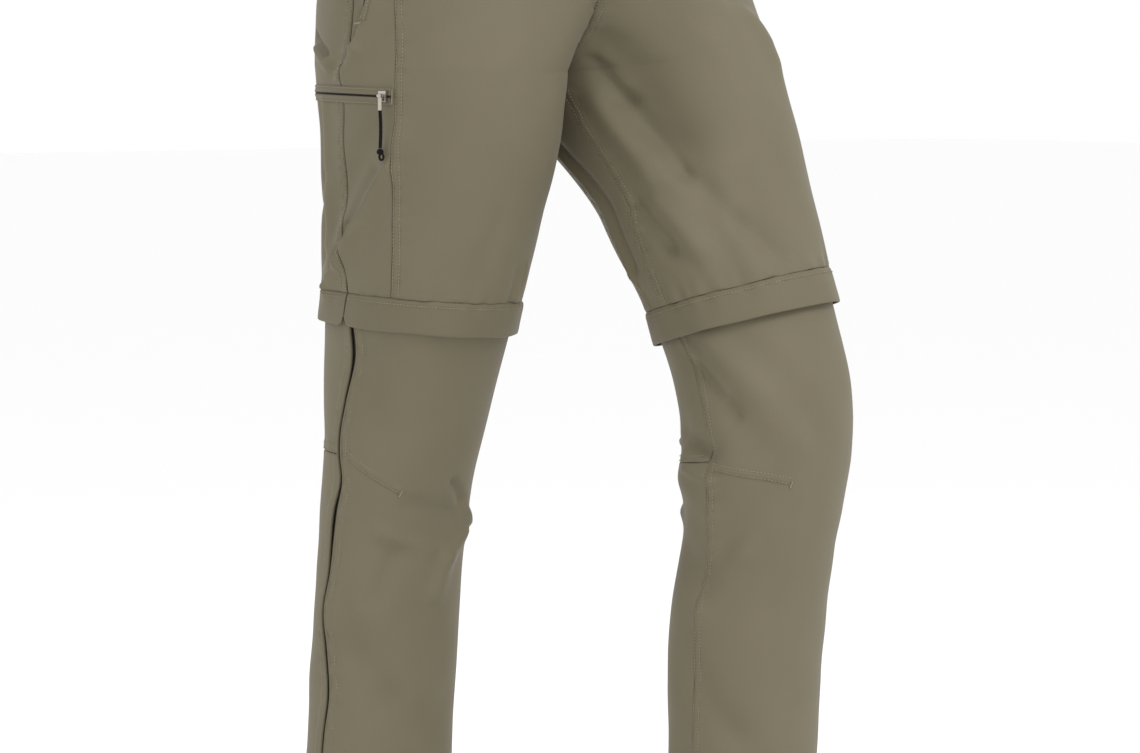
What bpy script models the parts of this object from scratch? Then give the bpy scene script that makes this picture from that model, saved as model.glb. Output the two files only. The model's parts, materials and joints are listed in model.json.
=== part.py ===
"""Convertible zip-off trousers, worn and striding.

All tables are in millimetres. The waist mount is the origin, +Z is up, the
front of the trousers faces -Y and the wearer's right leg is on -X.

Each half is first a straight tube around one leg, told by an angle u and a
height z. The pose tables then carry both tubes into the stride, so both legs
keep one cut. Every piece is made from points of that one form.
"""

import math

import bmesh
import bpy
import numpy as np

RIGHT = -1
LEFT = 1

# Driving sizes
BAND_TOP = 20.0
BAND_BOTTOM = -20.0
CROTCH = -235.0
THIGH_END = -428.0
FLAP_TOP = -428.8
FLAP_END = -456.0
LOWER_TOP = -444.0
KNEE_SEAM = -567.0
HEM = -1045.0
PANEL_WALL = 1.2
FLAP_WALL = 1.5
BAND_WALL = 2.2
SEAM_GAP = 0.3
LIP_SHARE = 0.042
CORD_WIDTH = 3.0
CORD_TOP = -12.3
CORD_END = -43.7
SPLIT_TOP = -60.0
SPLIT_POWER = 1.7
SQUARENESS = 2.25

# Size of one straight half: how far it reaches out from the middle plane, and
# from the leg's own centre inwards, forwards and backwards
SECTIONS = [
    # height, reach, inner, front, back, centre_aft
    (20, 158, 80, 112, 122, 0),
    (-20, 165, 82, 117, 128, 0),
    (-80, 175, 86, 122, 137, 0),
    (-150, 178, 92, 118, 134, -1),
    (-200, 181, 96, 112, 129, -2),
    (-235, 185, 97, 108, 122, -3),
    (-290, 187, 95, 103, 110, -4),
    (-360, 184, 90, 94, 97, -2),
    (-430, 180, 84, 85, 87, 0),
    (-500, 174, 74, 74, 78, 2),
    (-570, 168, 66, 66, 70, 2),
    (-640, 163, 60, 60, 64, 2),
    (-740, 162, 58, 58, 63, 2),
    (-860, 164, 60, 60, 64, 2),
    (-960, 167, 63, 63, 66, 2),
    (-1045, 170, 66, 66, 67, 0),
]

# The stride of each leg. Forward and out move the leg's centre, nod and lean
# tilt its rings, slim scales them and lift raises them
RIGHT_STRIDE = [
    # height, forward, out, nod, lean, slim, lift
    (20, 0, 0, 0.00, 0.00, 1.000, 0),
    (-60, 0, 0, 0.00, 0.00, 1.000, 0),
    (-110, -1, 0, 0.00, 0.00, 1.000, 0),
    (-174, 0, 0, 0.00, 0.02, 1.000, 0),
    (-235, 5, 0, -0.02, 0.03, 1.000, 0),
    (-305, 4, 0, -0.04, 0.04, 1.005, 0),
    (-349, -3, 0, -0.05, 0.04, 1.000, 0),
    (-436, -16, 0, -0.06, 0.04, 0.993, 0),
    (-524, -33, 0, -0.06, 0.03, 0.948, 0),
    (-567, -42, 0, -0.05, 0.02, 0.930, 0),
    (-611, -53, 0, -0.04, 0.01, 0.934, 0),
    (-699, -66, 0, -0.03, 0.00, 0.955, 0),
    (-830, -75, 0, -0.03, 0.00, 0.960, 0),
    (-1045, -92, 0, -0.03, 0.00, 0.950, 0),
]
LEFT_STRIDE = [
    # height, forward, out, nod, lean, slim, lift
    (20, 0, 0, 0.00, 0.00, 1.000, 0),
    (-60, 3, 0, 0.02, 0.02, 1.000, 0),
    (-110, 15, 0, 0.06, 0.05, 1.000, 0),
    (-174, 40, 2, 0.12, 0.10, 0.990, 1),
    (-235, 70, 3, 0.18, 0.12, 0.960, 2),
    (-305, 109, 3, 0.22, 0.12, 0.915, 3),
    (-349, 128, 3, 0.24, 0.12, 0.920, 4),
    (-436, 176, 3, 0.24, 0.12, 0.900, 4),
    (-524, 212, 3, 0.16, 0.08, 0.970, 4),
    (-567, 212, 3, 0.08, 0.04, 1.030, 4),
    (-611, 211, 3, 0.00, 0.00, 1.000, 4),
    (-699, 199, 0, -0.04, 0.00, 1.010, 4),
    (-830, 190, 0, -0.04, 0.00, 0.965, 4),
    (-1045, 178, 0, -0.04, 0.00, 0.970, 4),
]
# The rise seam on the middle plane moves forward a little with the left thigh
RISE_STRIDE = [
    # height, forward
    (20, 0),
    (-60, 0),
    (-110, 0),
    (-174, 6),
    (-235, 14),
    (-305, 20),
    (-1045, 20),
]


def curve(table, column, z):
    """Value of a table's column at the heights z, smooth through its rows."""
    rows = np.array(table, float)[::-1]
    heights, values = rows[:, 0], rows[:, column]
    slopes = np.gradient(values, heights)
    z = np.clip(z, heights[0], heights[-1])
    i = np.clip(np.searchsorted(heights, z) - 1, 0, len(heights) - 2)
    span = heights[i + 1] - heights[i]
    t = (z - heights[i]) / span
    start = (2 * t**3 - 3 * t**2 + 1) * values[i] + (t**3 - 2 * t**2 + t) * span * slopes[i]
    end = (3 * t**2 - 2 * t**3) * values[i + 1] + (t**3 - t**2) * span * slopes[i + 1]
    return start + end


def ease(x):
    """Smooth step from 0 to 1."""
    x = np.clip(x, 0, 1)
    return x * x * (3 - 2 * x)


def centre(z):
    """Distance of a leg's centre line from the middle plane."""
    down = np.clip((SPLIT_TOP - z) / (SPLIT_TOP - CROTCH), 0, 1)
    joined = 0.5 * down**SPLIT_POWER + 0.5 * ease(down) ** 1.15
    below = np.maximum(CROTCH - z, 0)
    return curve(SECTIONS, 2, z) * joined + 28 * ease(below / 420) + 2 * ease(below / 40)


def straight(u, z):
    """Sideways and fore-aft place of the straight half at angle u (0 front, 90 degrees outside)."""
    middle = centre(z)
    s, c = np.sin(u), np.cos(u)
    width = np.where(s > 0, curve(SECTIONS, 1, z) - middle, curve(SECTIONS, 2, z))
    depth = np.where(c > 0, curve(SECTIONS, 3, z), curve(SECTIONS, 4, z))
    round_off = (np.abs(s) ** SQUARENESS + np.abs(c) ** SQUARENESS) ** (-1 / SQUARENESS)
    return middle + width * s * round_off, curve(SECTIONS, 5, z) - depth * c * round_off


def form(side, u, z):
    """Outer face of the cloth in the stride, before its folds."""
    stride = RIGHT_STRIDE if side == RIGHT else LEFT_STRIDE
    forward, out, nod, lean, slim, lift = (curve(stride, k, z) for k in range(1, 7))
    rise = curve(RISE_STRIDE, 1, z)
    across, aft = straight(u, z)
    own = ease(across / 80)
    own = own + (1 - own) * ease((CROTCH - z) / 115)
    across = across + (slim - 1) * own * (across - centre(z))
    aft = aft * (1 + (slim - 1) * own)
    up = z + own * (lean * (across - centre(z)) - nod * aft + lift)
    aft = aft - rise - (forward - rise) * own
    return np.stack([side * (across + out * own), aft, up], axis=-1)


def inner_edge(z):
    """Angle at which a half meets the middle plane, or the inseam below the crotch."""
    cut = np.clip((centre(z) - SEAM_GAP / 2) / curve(SECTIONS, 2, z), 0, 1)
    cut = np.where(z <= CROTCH, 1.0, cut)
    rest = (1 - cut**SQUARENESS) ** (1 / SQUARENESS)
    return -np.arctan2(cut, rest)


# Folds: sign of depth tells a ridge from a trough
FOLDS = [
    # side, from_angle, from_height, to_angle, to_height, half_width, depth
    (RIGHT, 64, -300, 93, -378, 15, 4.0),
    (RIGHT, 93, -378, 113, -424, 14, 3.0),
    (RIGHT, 76, -285, 106, -372, 16, -4.0),
    (RIGHT, 79, -186, 96, -242, 13, 3.0),
    (RIGHT, 90, -180, 106, -232, 13, -3.0),
    (RIGHT, 66, -728, 30, -779, 17, -5.0),
    (RIGHT, 30, -779, -6, -828, 17, -4.5),
    (RIGHT, 52, -700, 10, -772, 19, 3.0),
    (RIGHT, 36, -645, -16, -628, 16, -2.5),
    (RIGHT, -4, -655, -10, -700, 15, 2.5),
    (RIGHT, 72, -500, 46, -560, 18, -2.5),
    (RIGHT, 20, -900, -30, -960, 18, -3.0),
    (RIGHT, 60, -985, 10, -1020, 17, -3.0),
    (RIGHT, 6, -405, 2, -360, 14, -2.5),
    (RIGHT, 200, -265, 150, -320, 22, -5.0),
    (RIGHT, 205, -300, 160, -365, 20, 3.0),
    (RIGHT, 210, -540, 150, -556, 16, -4.0),
    (RIGHT, 220, -590, 160, -602, 16, -3.5),
    (RIGHT, 150, -720, 200, -790, 18, -3.5),
    (RIGHT, 215, -860, 165, -920, 18, -3.0),
    (LEFT, -43, -215, -45, -300, 15, -4.0),
    (LEFT, -45, -300, -44, -425, 16, -4.5),
    (LEFT, -30, -235, -26, -330, 17, 3.5),
    (LEFT, -62, -270, -60, -400, 15, 3.0),
    (LEFT, -26, -330, -20, -405, 16, -3.0),
    (LEFT, 24, -215, 30, -252, 14, 4.0),
    (LEFT, 20, -190, 44, -214, 14, -3.5),
    (LEFT, -90, -470, -48, -556, 14, -4.5),
    (LEFT, -72, -468, -24, -552, 14, 4.0),
    (LEFT, -50, -470, -8, -540, 15, -3.0),
    (LEFT, 246, -540, 276, -556, 14, -4.5),
    (LEFT, 240, -585, 275, -612, 15, 3.5),
    (LEFT, 250, -652, 280, -676, 14, -3.5),
    (LEFT, -18, -598, -50, -645, 15, 4.0),
    (LEFT, -50, -645, -85, -696, 15, 3.0),
    (LEFT, -34, -590, -66, -640, 14, -3.0),
    (LEFT, -80, -760, -48, -798, 15, -3.5),
    (LEFT, -48, -798, -18, -830, 15, -3.0),
    (LEFT, -60, -930, -10, -975, 17, -3.0),
    (LEFT, 60, -280, 90, -350, 20, -4.0),
    (LEFT, 110, -230, 150, -290, 20, -4.0),
    (LEFT, 220, -560, 150, -585, 16, -5.0),
    (LEFT, 60, -640, 100, -720, 17, -3.5),
    (LEFT, 200, -760, 150, -840, 18, -3.0),
]

# Seams that run down a leg, as angles in degrees
SIDE_SEAM = [
    # height, angle
    (0, 92),
    (-181, 94),
    (-250, 99),
    (-305, 99),
    (-349, 97),
    (-392, 94),
    (-428, 90),
]
FRONT_SEAM = [
    # height, angle
    (0, 68),
    (-181, 68),
    (-220, 66),
    (-303, 65),
    (-345, 62),
    (-387, 59),
    (-428, 57),
]
GUSSET = [
    # height, front_angle, back_angle
    (-235, -90, -90),
    (-250, -74, -106),
    (-270, -75, -112),
    (-295, -81, -119),
    (-322, -88, -123),
    (-350, -93, -124),
    (-378, -96, -122),
    (-405, -98, -120),
    (-428, -100, -118),
]
CALM_EDGES = [
    # height, front_angle, back_angle
    (-20, 0, 180),
    (-75, -2, 182),
    (-105, -5, 185),
    (-135, -12, 192),
    (-160, -21, 201),
    (-182, -31, 211),
    (-202, -41, 221),
    (-218, -48, 229),
    (-235, -56, 236),
    (-250, -62, 239),
    (-270, -69, 241),
    (-295, -78, 240),
    (-322, -87, 237),
    (-350, -93, 236),
    (-378, -96, 238),
    (-428, -100, 242),
]
INSEAM = [
    # height, angle
    (-444, -98),
    (-500, -93),
    (-545, -88),
    (-567, -86),
    (-590, -87),
    (-1045, -88),
]
LEG_ZIP = [
    # height, angle, gap
    (-444, 88, 3.0),
    (-462, 84, 5.5),
    (-480, 82, 5.0),
    (-500, 84, 3.0),
    (-522, 88, 2.5),
    (-545, 92, 2.5),
    (-567, 92, 2.5),
    (-590, 86, 3.0),
    (-615, 89, 5.0),
    (-640, 90, 4.5),
    (-670, 92, 3.0),
    (-700, 97, 2.5),
    (-735, 91, 3.0),
    (-770, 84, 3.0),
    (-810, 88, 2.5),
    (-850, 89, 2.5),
    (-895, 88, 2.5),
    (-945, 87, 2.5),
    (-995, 88, 2.5),
    (-1045, 88, 3.0),
]
POCKET_SLIT = [
    # height, angle
    (-60, 77),
    (-90, 78),
    (-120, 79),
    (-150, 81),
    (-179, 84),
    (-196, 87),
]

UPPER_ROWS = [-20.3, -45, -75, -105, -135, -160, -182, -202, -218, -229, -235]
UPPER_ROWS += [-250, -270, -295, -322, -350, -378, -405, THIGH_END]
KNEE_ROWS = [LOWER_TOP, -462, -480, -500, -522, -545, KNEE_SEAM]
CALF_ROWS = [KNEE_SEAM, -590, -615, -640, -670, -700, -735, -770, -810, -850, -895, -945, -995, HEM]

MATERIALS = {
    # name: colour, roughness, metallic
    "woven_nylon": ((0.196, 0.174, 0.125), 0.62, 0.0),
    "nylon_trim": ((0.176, 0.156, 0.112), 0.66, 0.0),
    "zip_chain": ((0.018, 0.017, 0.016), 0.45, 0.0),
    "pull_metal": ((0.52, 0.50, 0.47), 0.35, 1.0),
    "braided_cord": ((0.014, 0.013, 0.012), 0.7, 0.0),
    "horn_button": ((0.055, 0.050, 0.040), 0.4, 0.0),
}


def across_table(table, column, z):
    """Straight-line value of a table at the heights z."""
    rows = np.array(table, float)[::-1]
    return np.interp(z, rows[:, 0], rows[:, column])


def folds(side, u, z):
    """Height of the folds above the smooth form."""
    total = np.zeros(np.broadcast(u, z).shape)
    radius = (curve(SECTIONS, 2, z) + curve(SECTIONS, 3, z)) / 2
    for leg, from_angle, from_height, to_angle, to_height, half_width, depth in FOLDS:
        if leg != side:
            continue
        start = math.radians(from_angle)
        turn = (u - start + math.pi) % (2 * math.pi) - math.pi
        along_u = math.radians(to_angle - from_angle) * radius
        along_z = to_height - from_height
        length = np.hypot(along_u, along_z)
        place = (turn * radius * along_u + (z - from_height) * along_z) / length**2
        off = (turn * radius * along_z - (z - from_height) * along_u) / length
        past = np.maximum(np.maximum(-place, place - 1), 0) * length
        total = total + depth * np.exp(-((off / half_width) ** 2) - (past / half_width) ** 2)
    return total


def facing(side, u, z):
    """Outward direction of the smooth form."""
    along = form(side, u + 1e-3, z) - form(side, u - 1e-3, z)
    upward = form(side, u, z + 0.5) - form(side, u, z - 0.5)
    out = np.cross(along, upward) * side
    return out / np.linalg.norm(out, axis=-1, keepdims=True)


def cloth(side, u, z, out):
    """Point of the folded cloth, moved out of its outer face."""
    u, z, out = np.broadcast_arrays(np.asarray(u, float), np.asarray(z, float), np.asarray(out, float))
    return form(side, u, z) + facing(side, u, z) * (folds(side, u, z) + out)[..., None]


def turned(side, u, z, distance):
    """Angle reached from u by going this far around the leg."""
    per_radian = np.linalg.norm(form(side, u + 1e-3, z) - form(side, u - 1e-3, z), axis=-1) / 2e-3
    return u + distance / per_radian


def tuck(z):
    """The leg below the thigh zip lies a little deeper, under the flap."""
    return -2.6 * (1 - ease((-452 - z) / 110))


def add_object(name, points, faces, material, origin=(0, 0, 0)):
    """A closed mesh from points in millimetres, its origin at a given point."""
    points = np.asarray(points, float)
    corners = points[np.array([face[:3] for face in faces])]
    if len({len(face) for face in faces}) == 1 and len(faces[0]) == 3:
        volume = np.einsum("ij,ij->i", corners[:, 0], np.cross(corners[:, 1], corners[:, 2])).sum()
        if volume < 0:
            faces = [face[::-1] for face in faces]
    mesh = bpy.data.meshes.new(name)
    mesh.from_pydata(((points - np.array(origin)) * 0.001).tolist(), [], [list(face) for face in faces])
    mesh.update()
    obj = bpy.data.objects.new(name, mesh)
    obj.location = [value * 0.001 for value in origin]
    obj.data.materials.append(material)
    bpy.context.scene.collection.objects.link(obj)
    return obj


def slab(name, outer, inner, material, ring=False):
    """A closed sheet between two grids of points, split alike on both faces."""
    rows, columns = outer.shape[:2]
    points = np.concatenate([outer.reshape(-1, 3), inner.reshape(-1, 3)])
    count = rows * columns
    faces = []
    last = columns if ring else columns - 1
    for j in range(rows - 1):
        for i in range(last):
            k = (i + 1) % columns
            a, b = j * columns + i, j * columns + k
            c, d = (j + 1) * columns + k, (j + 1) * columns + i
            faces += [(a, b, c), (a, c, d)]
            a, b, c, d = a + count, b + count, c + count, d + count
            faces += [(a, c, b), (a, d, c)]
    rims = [[(0, i) for i in range(columns)] + ([(0, 0)] if ring else [])]
    rims.append([(rows - 1, i) for i in range(columns)][::-1])
    if ring:
        rims[1] = [(rows - 1, 0)] + rims[1]
    else:
        rims.append([(j, columns - 1) for j in range(rows)])
        rims.append([(j, 0) for j in range(rows)][::-1])
    for rim in rims:
        for (j, i), (m, n) in zip(rim, rim[1:]):
            a, b = j * columns + i, m * columns + n
            faces += [(b, a, a + count), (b, a + count, b + count)]
    return add_object(name, points, faces, material)


def panel(name, side, rows, start, end, shares, material, out=None, calm=None):
    """One cut piece of cloth between two seam angles, as a grid that later pieces lie on.

    Calm holds edge angles for the columns to follow, so that only those next
    to a true edge bend with it at the crotch.
    """
    z = np.array(rows, float)
    shares = np.array(shares, float)
    first, last = (start, end) if calm is None else calm
    u = first[:, None] + (last - first)[:, None] * shares
    u = u + (start - first)[:, None] * (1 - shares) ** 5 + (end - last)[:, None] * shares**5
    heights = np.repeat(z[:, None], len(shares), axis=1)
    lift = np.zeros_like(heights) if out is None else out(heights)
    outer = cloth(side, u, heights, lift)
    normal = facing(side, u, heights)
    slab(name, outer, outer - normal * PANEL_WALL, material)
    return {"z": z, "start": start, "end": end, "outer": outer, "normal": normal, "shares": shares}


def even(count):
    """Shares of a panel's width for columns of one size."""
    return np.linspace(0, 1, count + 1)


def on(piece, share, z, out):
    """Point on a panel's own flat facets, at a share of its width and a height."""
    rows = piece["z"]
    j = int(np.clip(np.searchsorted(-rows, -z, side="right") - 1, 0, len(rows) - 2))
    v = (z - rows[j]) / (rows[j + 1] - rows[j])
    shares = piece["shares"]
    i = int(np.clip(np.searchsorted(shares, share, side="right") - 1, 0, len(shares) - 2))
    f = (share - shares[i]) / (shares[i + 1] - shares[i])
    found = []
    for grid in (piece["outer"], piece["normal"]):
        a, b, c, d = grid[j, i], grid[j, i + 1], grid[j + 1, i + 1], grid[j + 1, i]
        found.append(a + f * (b - a) + v * (c - b) if f >= v else a + v * (d - a) + f * (c - d))
    return found[0] + found[1] / np.linalg.norm(found[1]) * out


def share_of(piece, u, z):
    """Share of a panel's width at an angle."""
    rows = piece["z"][::-1]
    start = np.interp(z, rows, piece["start"][::-1])
    end = np.interp(z, rows, piece["end"][::-1])
    return (u - start) / (end - start)


def width_of(piece, z):
    """Width of a panel at a height."""
    spans = np.linalg.norm(np.diff(piece["outer"], axis=1), axis=2).sum(axis=1)
    return np.interp(z, piece["z"][::-1], spans[::-1])


def strip(name, edges, low, high, material):
    """A narrow piece lying on a panel, from rows of (panel, share, height) points."""
    outer = np.array([[on(*point, high) for point in edge] for edge in edges])
    inner = np.array([[on(*point, low) for point in edge] for edge in edges])
    return slab(name, outer, inner, material)


def frame_at(point, normal):
    """Axes of a small piece on the cloth: level, outward and up."""
    level = np.cross((0, 0, 1), normal)
    level = level / np.linalg.norm(level)
    return point, level, normal, np.cross(normal, level)


def extruded(name, outline, low, high, place, material, origin=(0, 0, 0)):
    """An outline in the outward and up axes, drawn out along the level axis."""
    point, level, outward, up = place
    ends = [[point + level * x + outward * y + up * z for y, z in outline] for x in (low, high)]
    count = len(outline)
    faces = [tuple(range(count))[::-1], tuple(range(count, 2 * count))]
    faces += [(i, (i + 1) % count, (i + 1) % count + count, i + count) for i in range(count)]
    points = np.concatenate(ends)
    obj = add_object(name, points, faces, material, origin)
    shape = bmesh.new()
    shape.from_mesh(obj.data)
    bmesh.ops.recalc_face_normals(shape, faces=shape.faces)
    if shape.calc_volume(signed=True) < 0:
        bmesh.ops.reverse_faces(shape, faces=shape.faces)
    shape.to_mesh(obj.data)
    shape.free()
    return obj


def turned_solid(name, profile, sides, place, material, origin=(0, 0, 0)):
    """A profile of (radius, height) pairs turned about the up axis of a place."""
    point, level, outward, up = place
    points = [point + up * profile[0][1]]
    for radius, height in profile[1:-1]:
        for k in range(sides):
            angle = 2 * math.pi * k / sides
            around_it = level * math.cos(angle) + outward * math.sin(angle)
            points.append(point + radius * around_it + up * height)
    points.append(point + up * profile[-1][1])
    rings = len(profile) - 2
    faces = []
    for k in range(sides):
        n = (k + 1) % sides
        faces.append((0, 1 + n, 1 + k))
        for r in range(rings - 1):
            a, b = 1 + r * sides + k, 1 + r * sides + n
            faces += [(a, b, b + sides), (a, b + sides, a + sides)]
        faces.append((len(points) - 1, 1 + (rings - 1) * sides + k, 1 + (rings - 1) * sides + n))
    return add_object(name, points, faces, material, origin)


def make_materials():
    made = {}
    for name, (colour, roughness, metallic) in MATERIALS.items():
        material = bpy.data.materials.new(name)
        material.use_nodes = True
        shader = material.node_tree.nodes["Principled BSDF"]
        shader.inputs["Base Color"].default_value = (*colour, 1)
        shader.inputs["Roughness"].default_value = roughness
        shader.inputs["Metallic"].default_value = metallic
        material.diffuse_color = (*colour, 1)
        made[name] = material
    return made


def seam(table, column, rows, side, shift=0.0):
    """Seam angle at each row, moved off the seam line by half a gap."""
    z = np.array(rows, float)
    return turned(side, np.radians(across_table(table, column, z)), z, shift)


def upper_leg(side, word, materials):
    """The shorts part of one leg: front, side front, back and gusset."""
    cloth_material = materials["woven_nylon"]
    half = SEAM_GAP / 2
    rows = np.array(UPPER_ROWS)
    middle = inner_edge(rows)
    below = rows < CROTCH
    gusset_front = seam(GUSSET, 1, rows, side, half)
    gusset_back = seam(GUSSET, 2, rows, side, -half) + 2 * math.pi
    start = np.where(below, gusset_front, middle)
    end = np.where(below, gusset_back, math.pi - middle)
    calm_front = np.radians(across_table(CALM_EDGES, 1, rows))
    calm_back = np.radians(across_table(CALM_EDGES, 2, rows))
    front_seam = seam(FRONT_SEAM, 1, rows, side, -half)
    side_seam = seam(SIDE_SEAM, 1, rows, side, half)
    panels = {}
    panels["front"] = panel(
        "front_" + word,
        side,
        rows,
        start,
        front_seam,
        even(11),
        cloth_material,
        calm=(calm_front, front_seam),
    )
    panels["side_front"] = panel(
        "side_front_" + word,
        side,
        rows,
        seam(FRONT_SEAM, 1, rows, side, half),
        seam(SIDE_SEAM, 1, rows, side, -half),
        even(3),
        cloth_material,
    )
    panels["back"] = panel(
        "back_" + word, side, rows, side_seam, end, even(13), cloth_material, calm=(side_seam, calm_back)
    )
    panels["gusset"] = gusset(side, word, rows[below], cloth_material)
    return panels


def gusset(side, word, rows, material):
    """The long inner-thigh piece, its point just under the crotch."""
    half = SEAM_GAP / 2
    first = seam(GUSSET, 2, rows, side, half)
    last = seam(GUSSET, 1, rows, side, -half)
    share = np.linspace(0, 1, 5)
    u = first[:, None] + (last - first)[:, None] * share
    heights = np.repeat(rows[:, None], 5, axis=1)
    outer = cloth(side, u, heights, 0.0)
    normal = facing(side, u, heights)
    point = cloth(side, -math.pi / 2, CROTCH, 0.0)
    crown = point + (outer[0] - point) * 0.16
    full = np.concatenate([crown[None], outer])
    out = np.concatenate([normal[:1], normal])
    slab("gusset_" + word, full, full - out * PANEL_WALL, material)
    return {"z": rows, "start": first, "end": last, "outer": outer, "normal": normal, "shares": share}


def lower_leg(side, word, materials):
    """The zip-off leg: shin front, and a back split at the knee."""
    material = materials["woven_nylon"]
    half = SEAM_GAP / 2
    shin_shares = np.append(np.linspace(0, 1 - LIP_SHARE, 11), 1)
    back_shares = np.append(0, np.linspace(LIP_SHARE, 1, 11))
    shin_rows = np.array(KNEE_ROWS + CALF_ROWS[1:])
    knee_rows = np.array(KNEE_ROWS[:-1] + [KNEE_SEAM + half])
    calf_rows = np.array([KNEE_SEAM - half] + CALF_ROWS[1:])

    def zip_edge(rows, sign):
        gap = across_table(LEG_ZIP, 2, rows) / 2
        return turned(side, np.radians(across_table(LEG_ZIP, 1, rows)), rows, sign * gap)

    def inseam(rows, shift):
        return seam(INSEAM, 1, rows, side, shift)

    panels = {}
    start, end = inseam(shin_rows, half), zip_edge(shin_rows, -1)
    name = "shin_front_" + word
    panels["shin"] = panel(name, side, shin_rows, start, end, shin_shares, material, tuck)
    for key, rows in (("knee", knee_rows), ("calf", calf_rows)):
        start, end = zip_edge(rows, 1), inseam(rows, -half) + 2 * math.pi
        name = f"{key}_back_{word}"
        panels[key] = panel(name, side, rows, start, end, back_shares, material, tuck)
    return panels


def around(pieces, u, z, out):
    """Point at an angle and a height on whichever of the pieces lies there."""
    best = None
    for piece in pieces:
        for turn in (-2 * math.pi, 0.0, 2 * math.pi):
            share = share_of(piece, u + turn, z)
            miss = max(-share, share - 1, 0.0)
            if best is None or miss < best[0]:
                best = (miss, piece, share)
    _, piece, share = best
    return on(piece, min(max(share, 0.0), 1.0), z, out)


def columns_of(pieces, z):
    """Angles of all columns of the pieces at a height, within one turn."""
    found = []
    for piece in pieces:
        rows = piece["z"][::-1]
        start = np.interp(z, rows, piece["start"][::-1])
        end = np.interp(z, rows, piece["end"][::-1])
        found += list((start + (end - start) * piece["shares"]) % (2 * math.pi))
    return found


def thigh_band(side, word, upper, lower, materials):
    """The flap that covers the thigh zip, and the zip behind it, fast to the cloth above and below."""
    start, end = math.radians(90.9), math.radians(448.4)
    u = np.linspace(start, end, 37)
    rows = [
        # height, outer offset
        (FLAP_TOP, 0.6),
        (-434, 1.9),
        (-446, 3.4),
        (FLAP_END, 3.7),
    ]
    heights = np.array([[height] * 37 for height, _ in rows], float)
    ends = np.minimum(u - start, end - u) * 90
    heights[-1] += 5.0 * (1 - ease(ends / 14))
    heights[-2] += 1.5 * (1 - ease(ends / 14))
    offsets = np.array([[offset] * 37 for _, offset in rows])
    outer = cloth(side, u, heights, offsets)
    inner = outer - facing(side, np.broadcast_to(u, heights.shape), heights) * FLAP_WALL
    slab("thigh_flap_" + word, outer, inner, materials["nylon_trim"])
    above, below = list(upper.values()), [lower["shin"], lower["knee"]]
    ring = []
    for angle in sorted(columns_of(above, -424) + columns_of(below, -446)):
        if not ring or angle - ring[-1] > math.radians(1.0):
            ring.append(angle)
    levels = [
        # pieces, height
        (above, -421.0),
        (above, -426.5),
        (below, LOWER_TOP - 0.6),
        (below, -451.0),
    ]
    under = PANEL_WALL + SEAM_GAP
    outer = np.array([[around(pieces, angle, z, -under) for angle in ring] for pieces, z in levels])
    inner = np.array([[around(pieces, angle, z, -under - 1.0) for angle in ring] for pieces, z in levels])
    slab("thigh_zip_" + word, outer, inner, materials["zip_chain"], ring=True)


def leg_zip(side, word, panels, materials):
    """The long side zip in its gap, and the cloth lip along each side of it."""
    half = SEAM_GAP / 2
    rows = KNEE_ROWS[:-1] + [KNEE_SEAM + half, KNEE_SEAM - half] + CALF_ROWS[1:]
    tape, front_lip, back_lip = [], [], []
    for z in rows:
        shin = panels["shin"]
        back = panels["knee"] if z > KNEE_SEAM else panels["calf"]
        if z < FLAP_END - 3:
            tape.append([(shin, 1 - LIP_SHARE, z), (shin, 1, z), (back, 0, z), (back, LIP_SHARE, z)])
            front_lip.append([(shin, 1 - LIP_SHARE, z), (shin, 1, z)])
            back_lip.append([(back, 0, z), (back, LIP_SHARE, z)])
    strip("leg_zip_" + word, tape, -3.0, -1.8, materials["zip_chain"])
    strip("leg_lip_front_" + word, front_lip, 0.45, 1.45, materials["nylon_trim"])
    strip("leg_lip_back_" + word, back_lip, 0.45, 1.35, materials["nylon_trim"])


def hand_pocket(word, panels, materials):
    """The slanted zip of a hand pocket and the welt beside it."""
    piece = panels["side_front"]
    zip_rows, welt_rows = [], []
    for z in (-60, -67, -75, -90, -105, -120, -135, -147, -160, -171, -182, -189, -196):
        middle = math.radians(across_table(POCKET_SLIT, 1, z))
        share = share_of(piece, middle, z)
        step = 1 / width_of(piece, z)
        zip_rows.append([(piece, share - 2.2 * step, z), (piece, share + 2.2 * step, z)])
        welt_rows.append([(piece, share - 12 * step, z), (piece, share - 2.7 * step, z)])
    strip("hand_zip_" + word, zip_rows, 0.6, 1.4, materials["zip_chain"])
    strip("hand_welt_" + word, welt_rows, 0.6, 1.8, materials["nylon_trim"])


def cargo_pocket(panels, materials):
    """The level zip of the cargo pocket between two welts, round the right thigh."""
    front, back = panels["side_front"], panels["back"]
    spots = [(front, share) for share in (0.03, 0.2, 1 / 3, 0.5, 2 / 3, 0.83, 0.999)]
    spots += [(back, share / 26) for share in range(0, 15)]
    layers = [
        # name, top, bottom, low, high, material
        ("cargo_welt_upper", -251.5, -256.6, 0.45, 1.7, "nylon_trim"),
        ("cargo_zip", -257.0, -261.0, 0.45, 1.2, "zip_chain"),
        ("cargo_welt_lower", -261.4, -267.5, 0.45, 1.7, "nylon_trim"),
    ]
    for name, top, bottom, low, high, material in layers:
        edges = [[(piece, share, top), (piece, share, bottom)] for piece, share in spots]
        strip(name, edges, low, high, materials[material])


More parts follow.
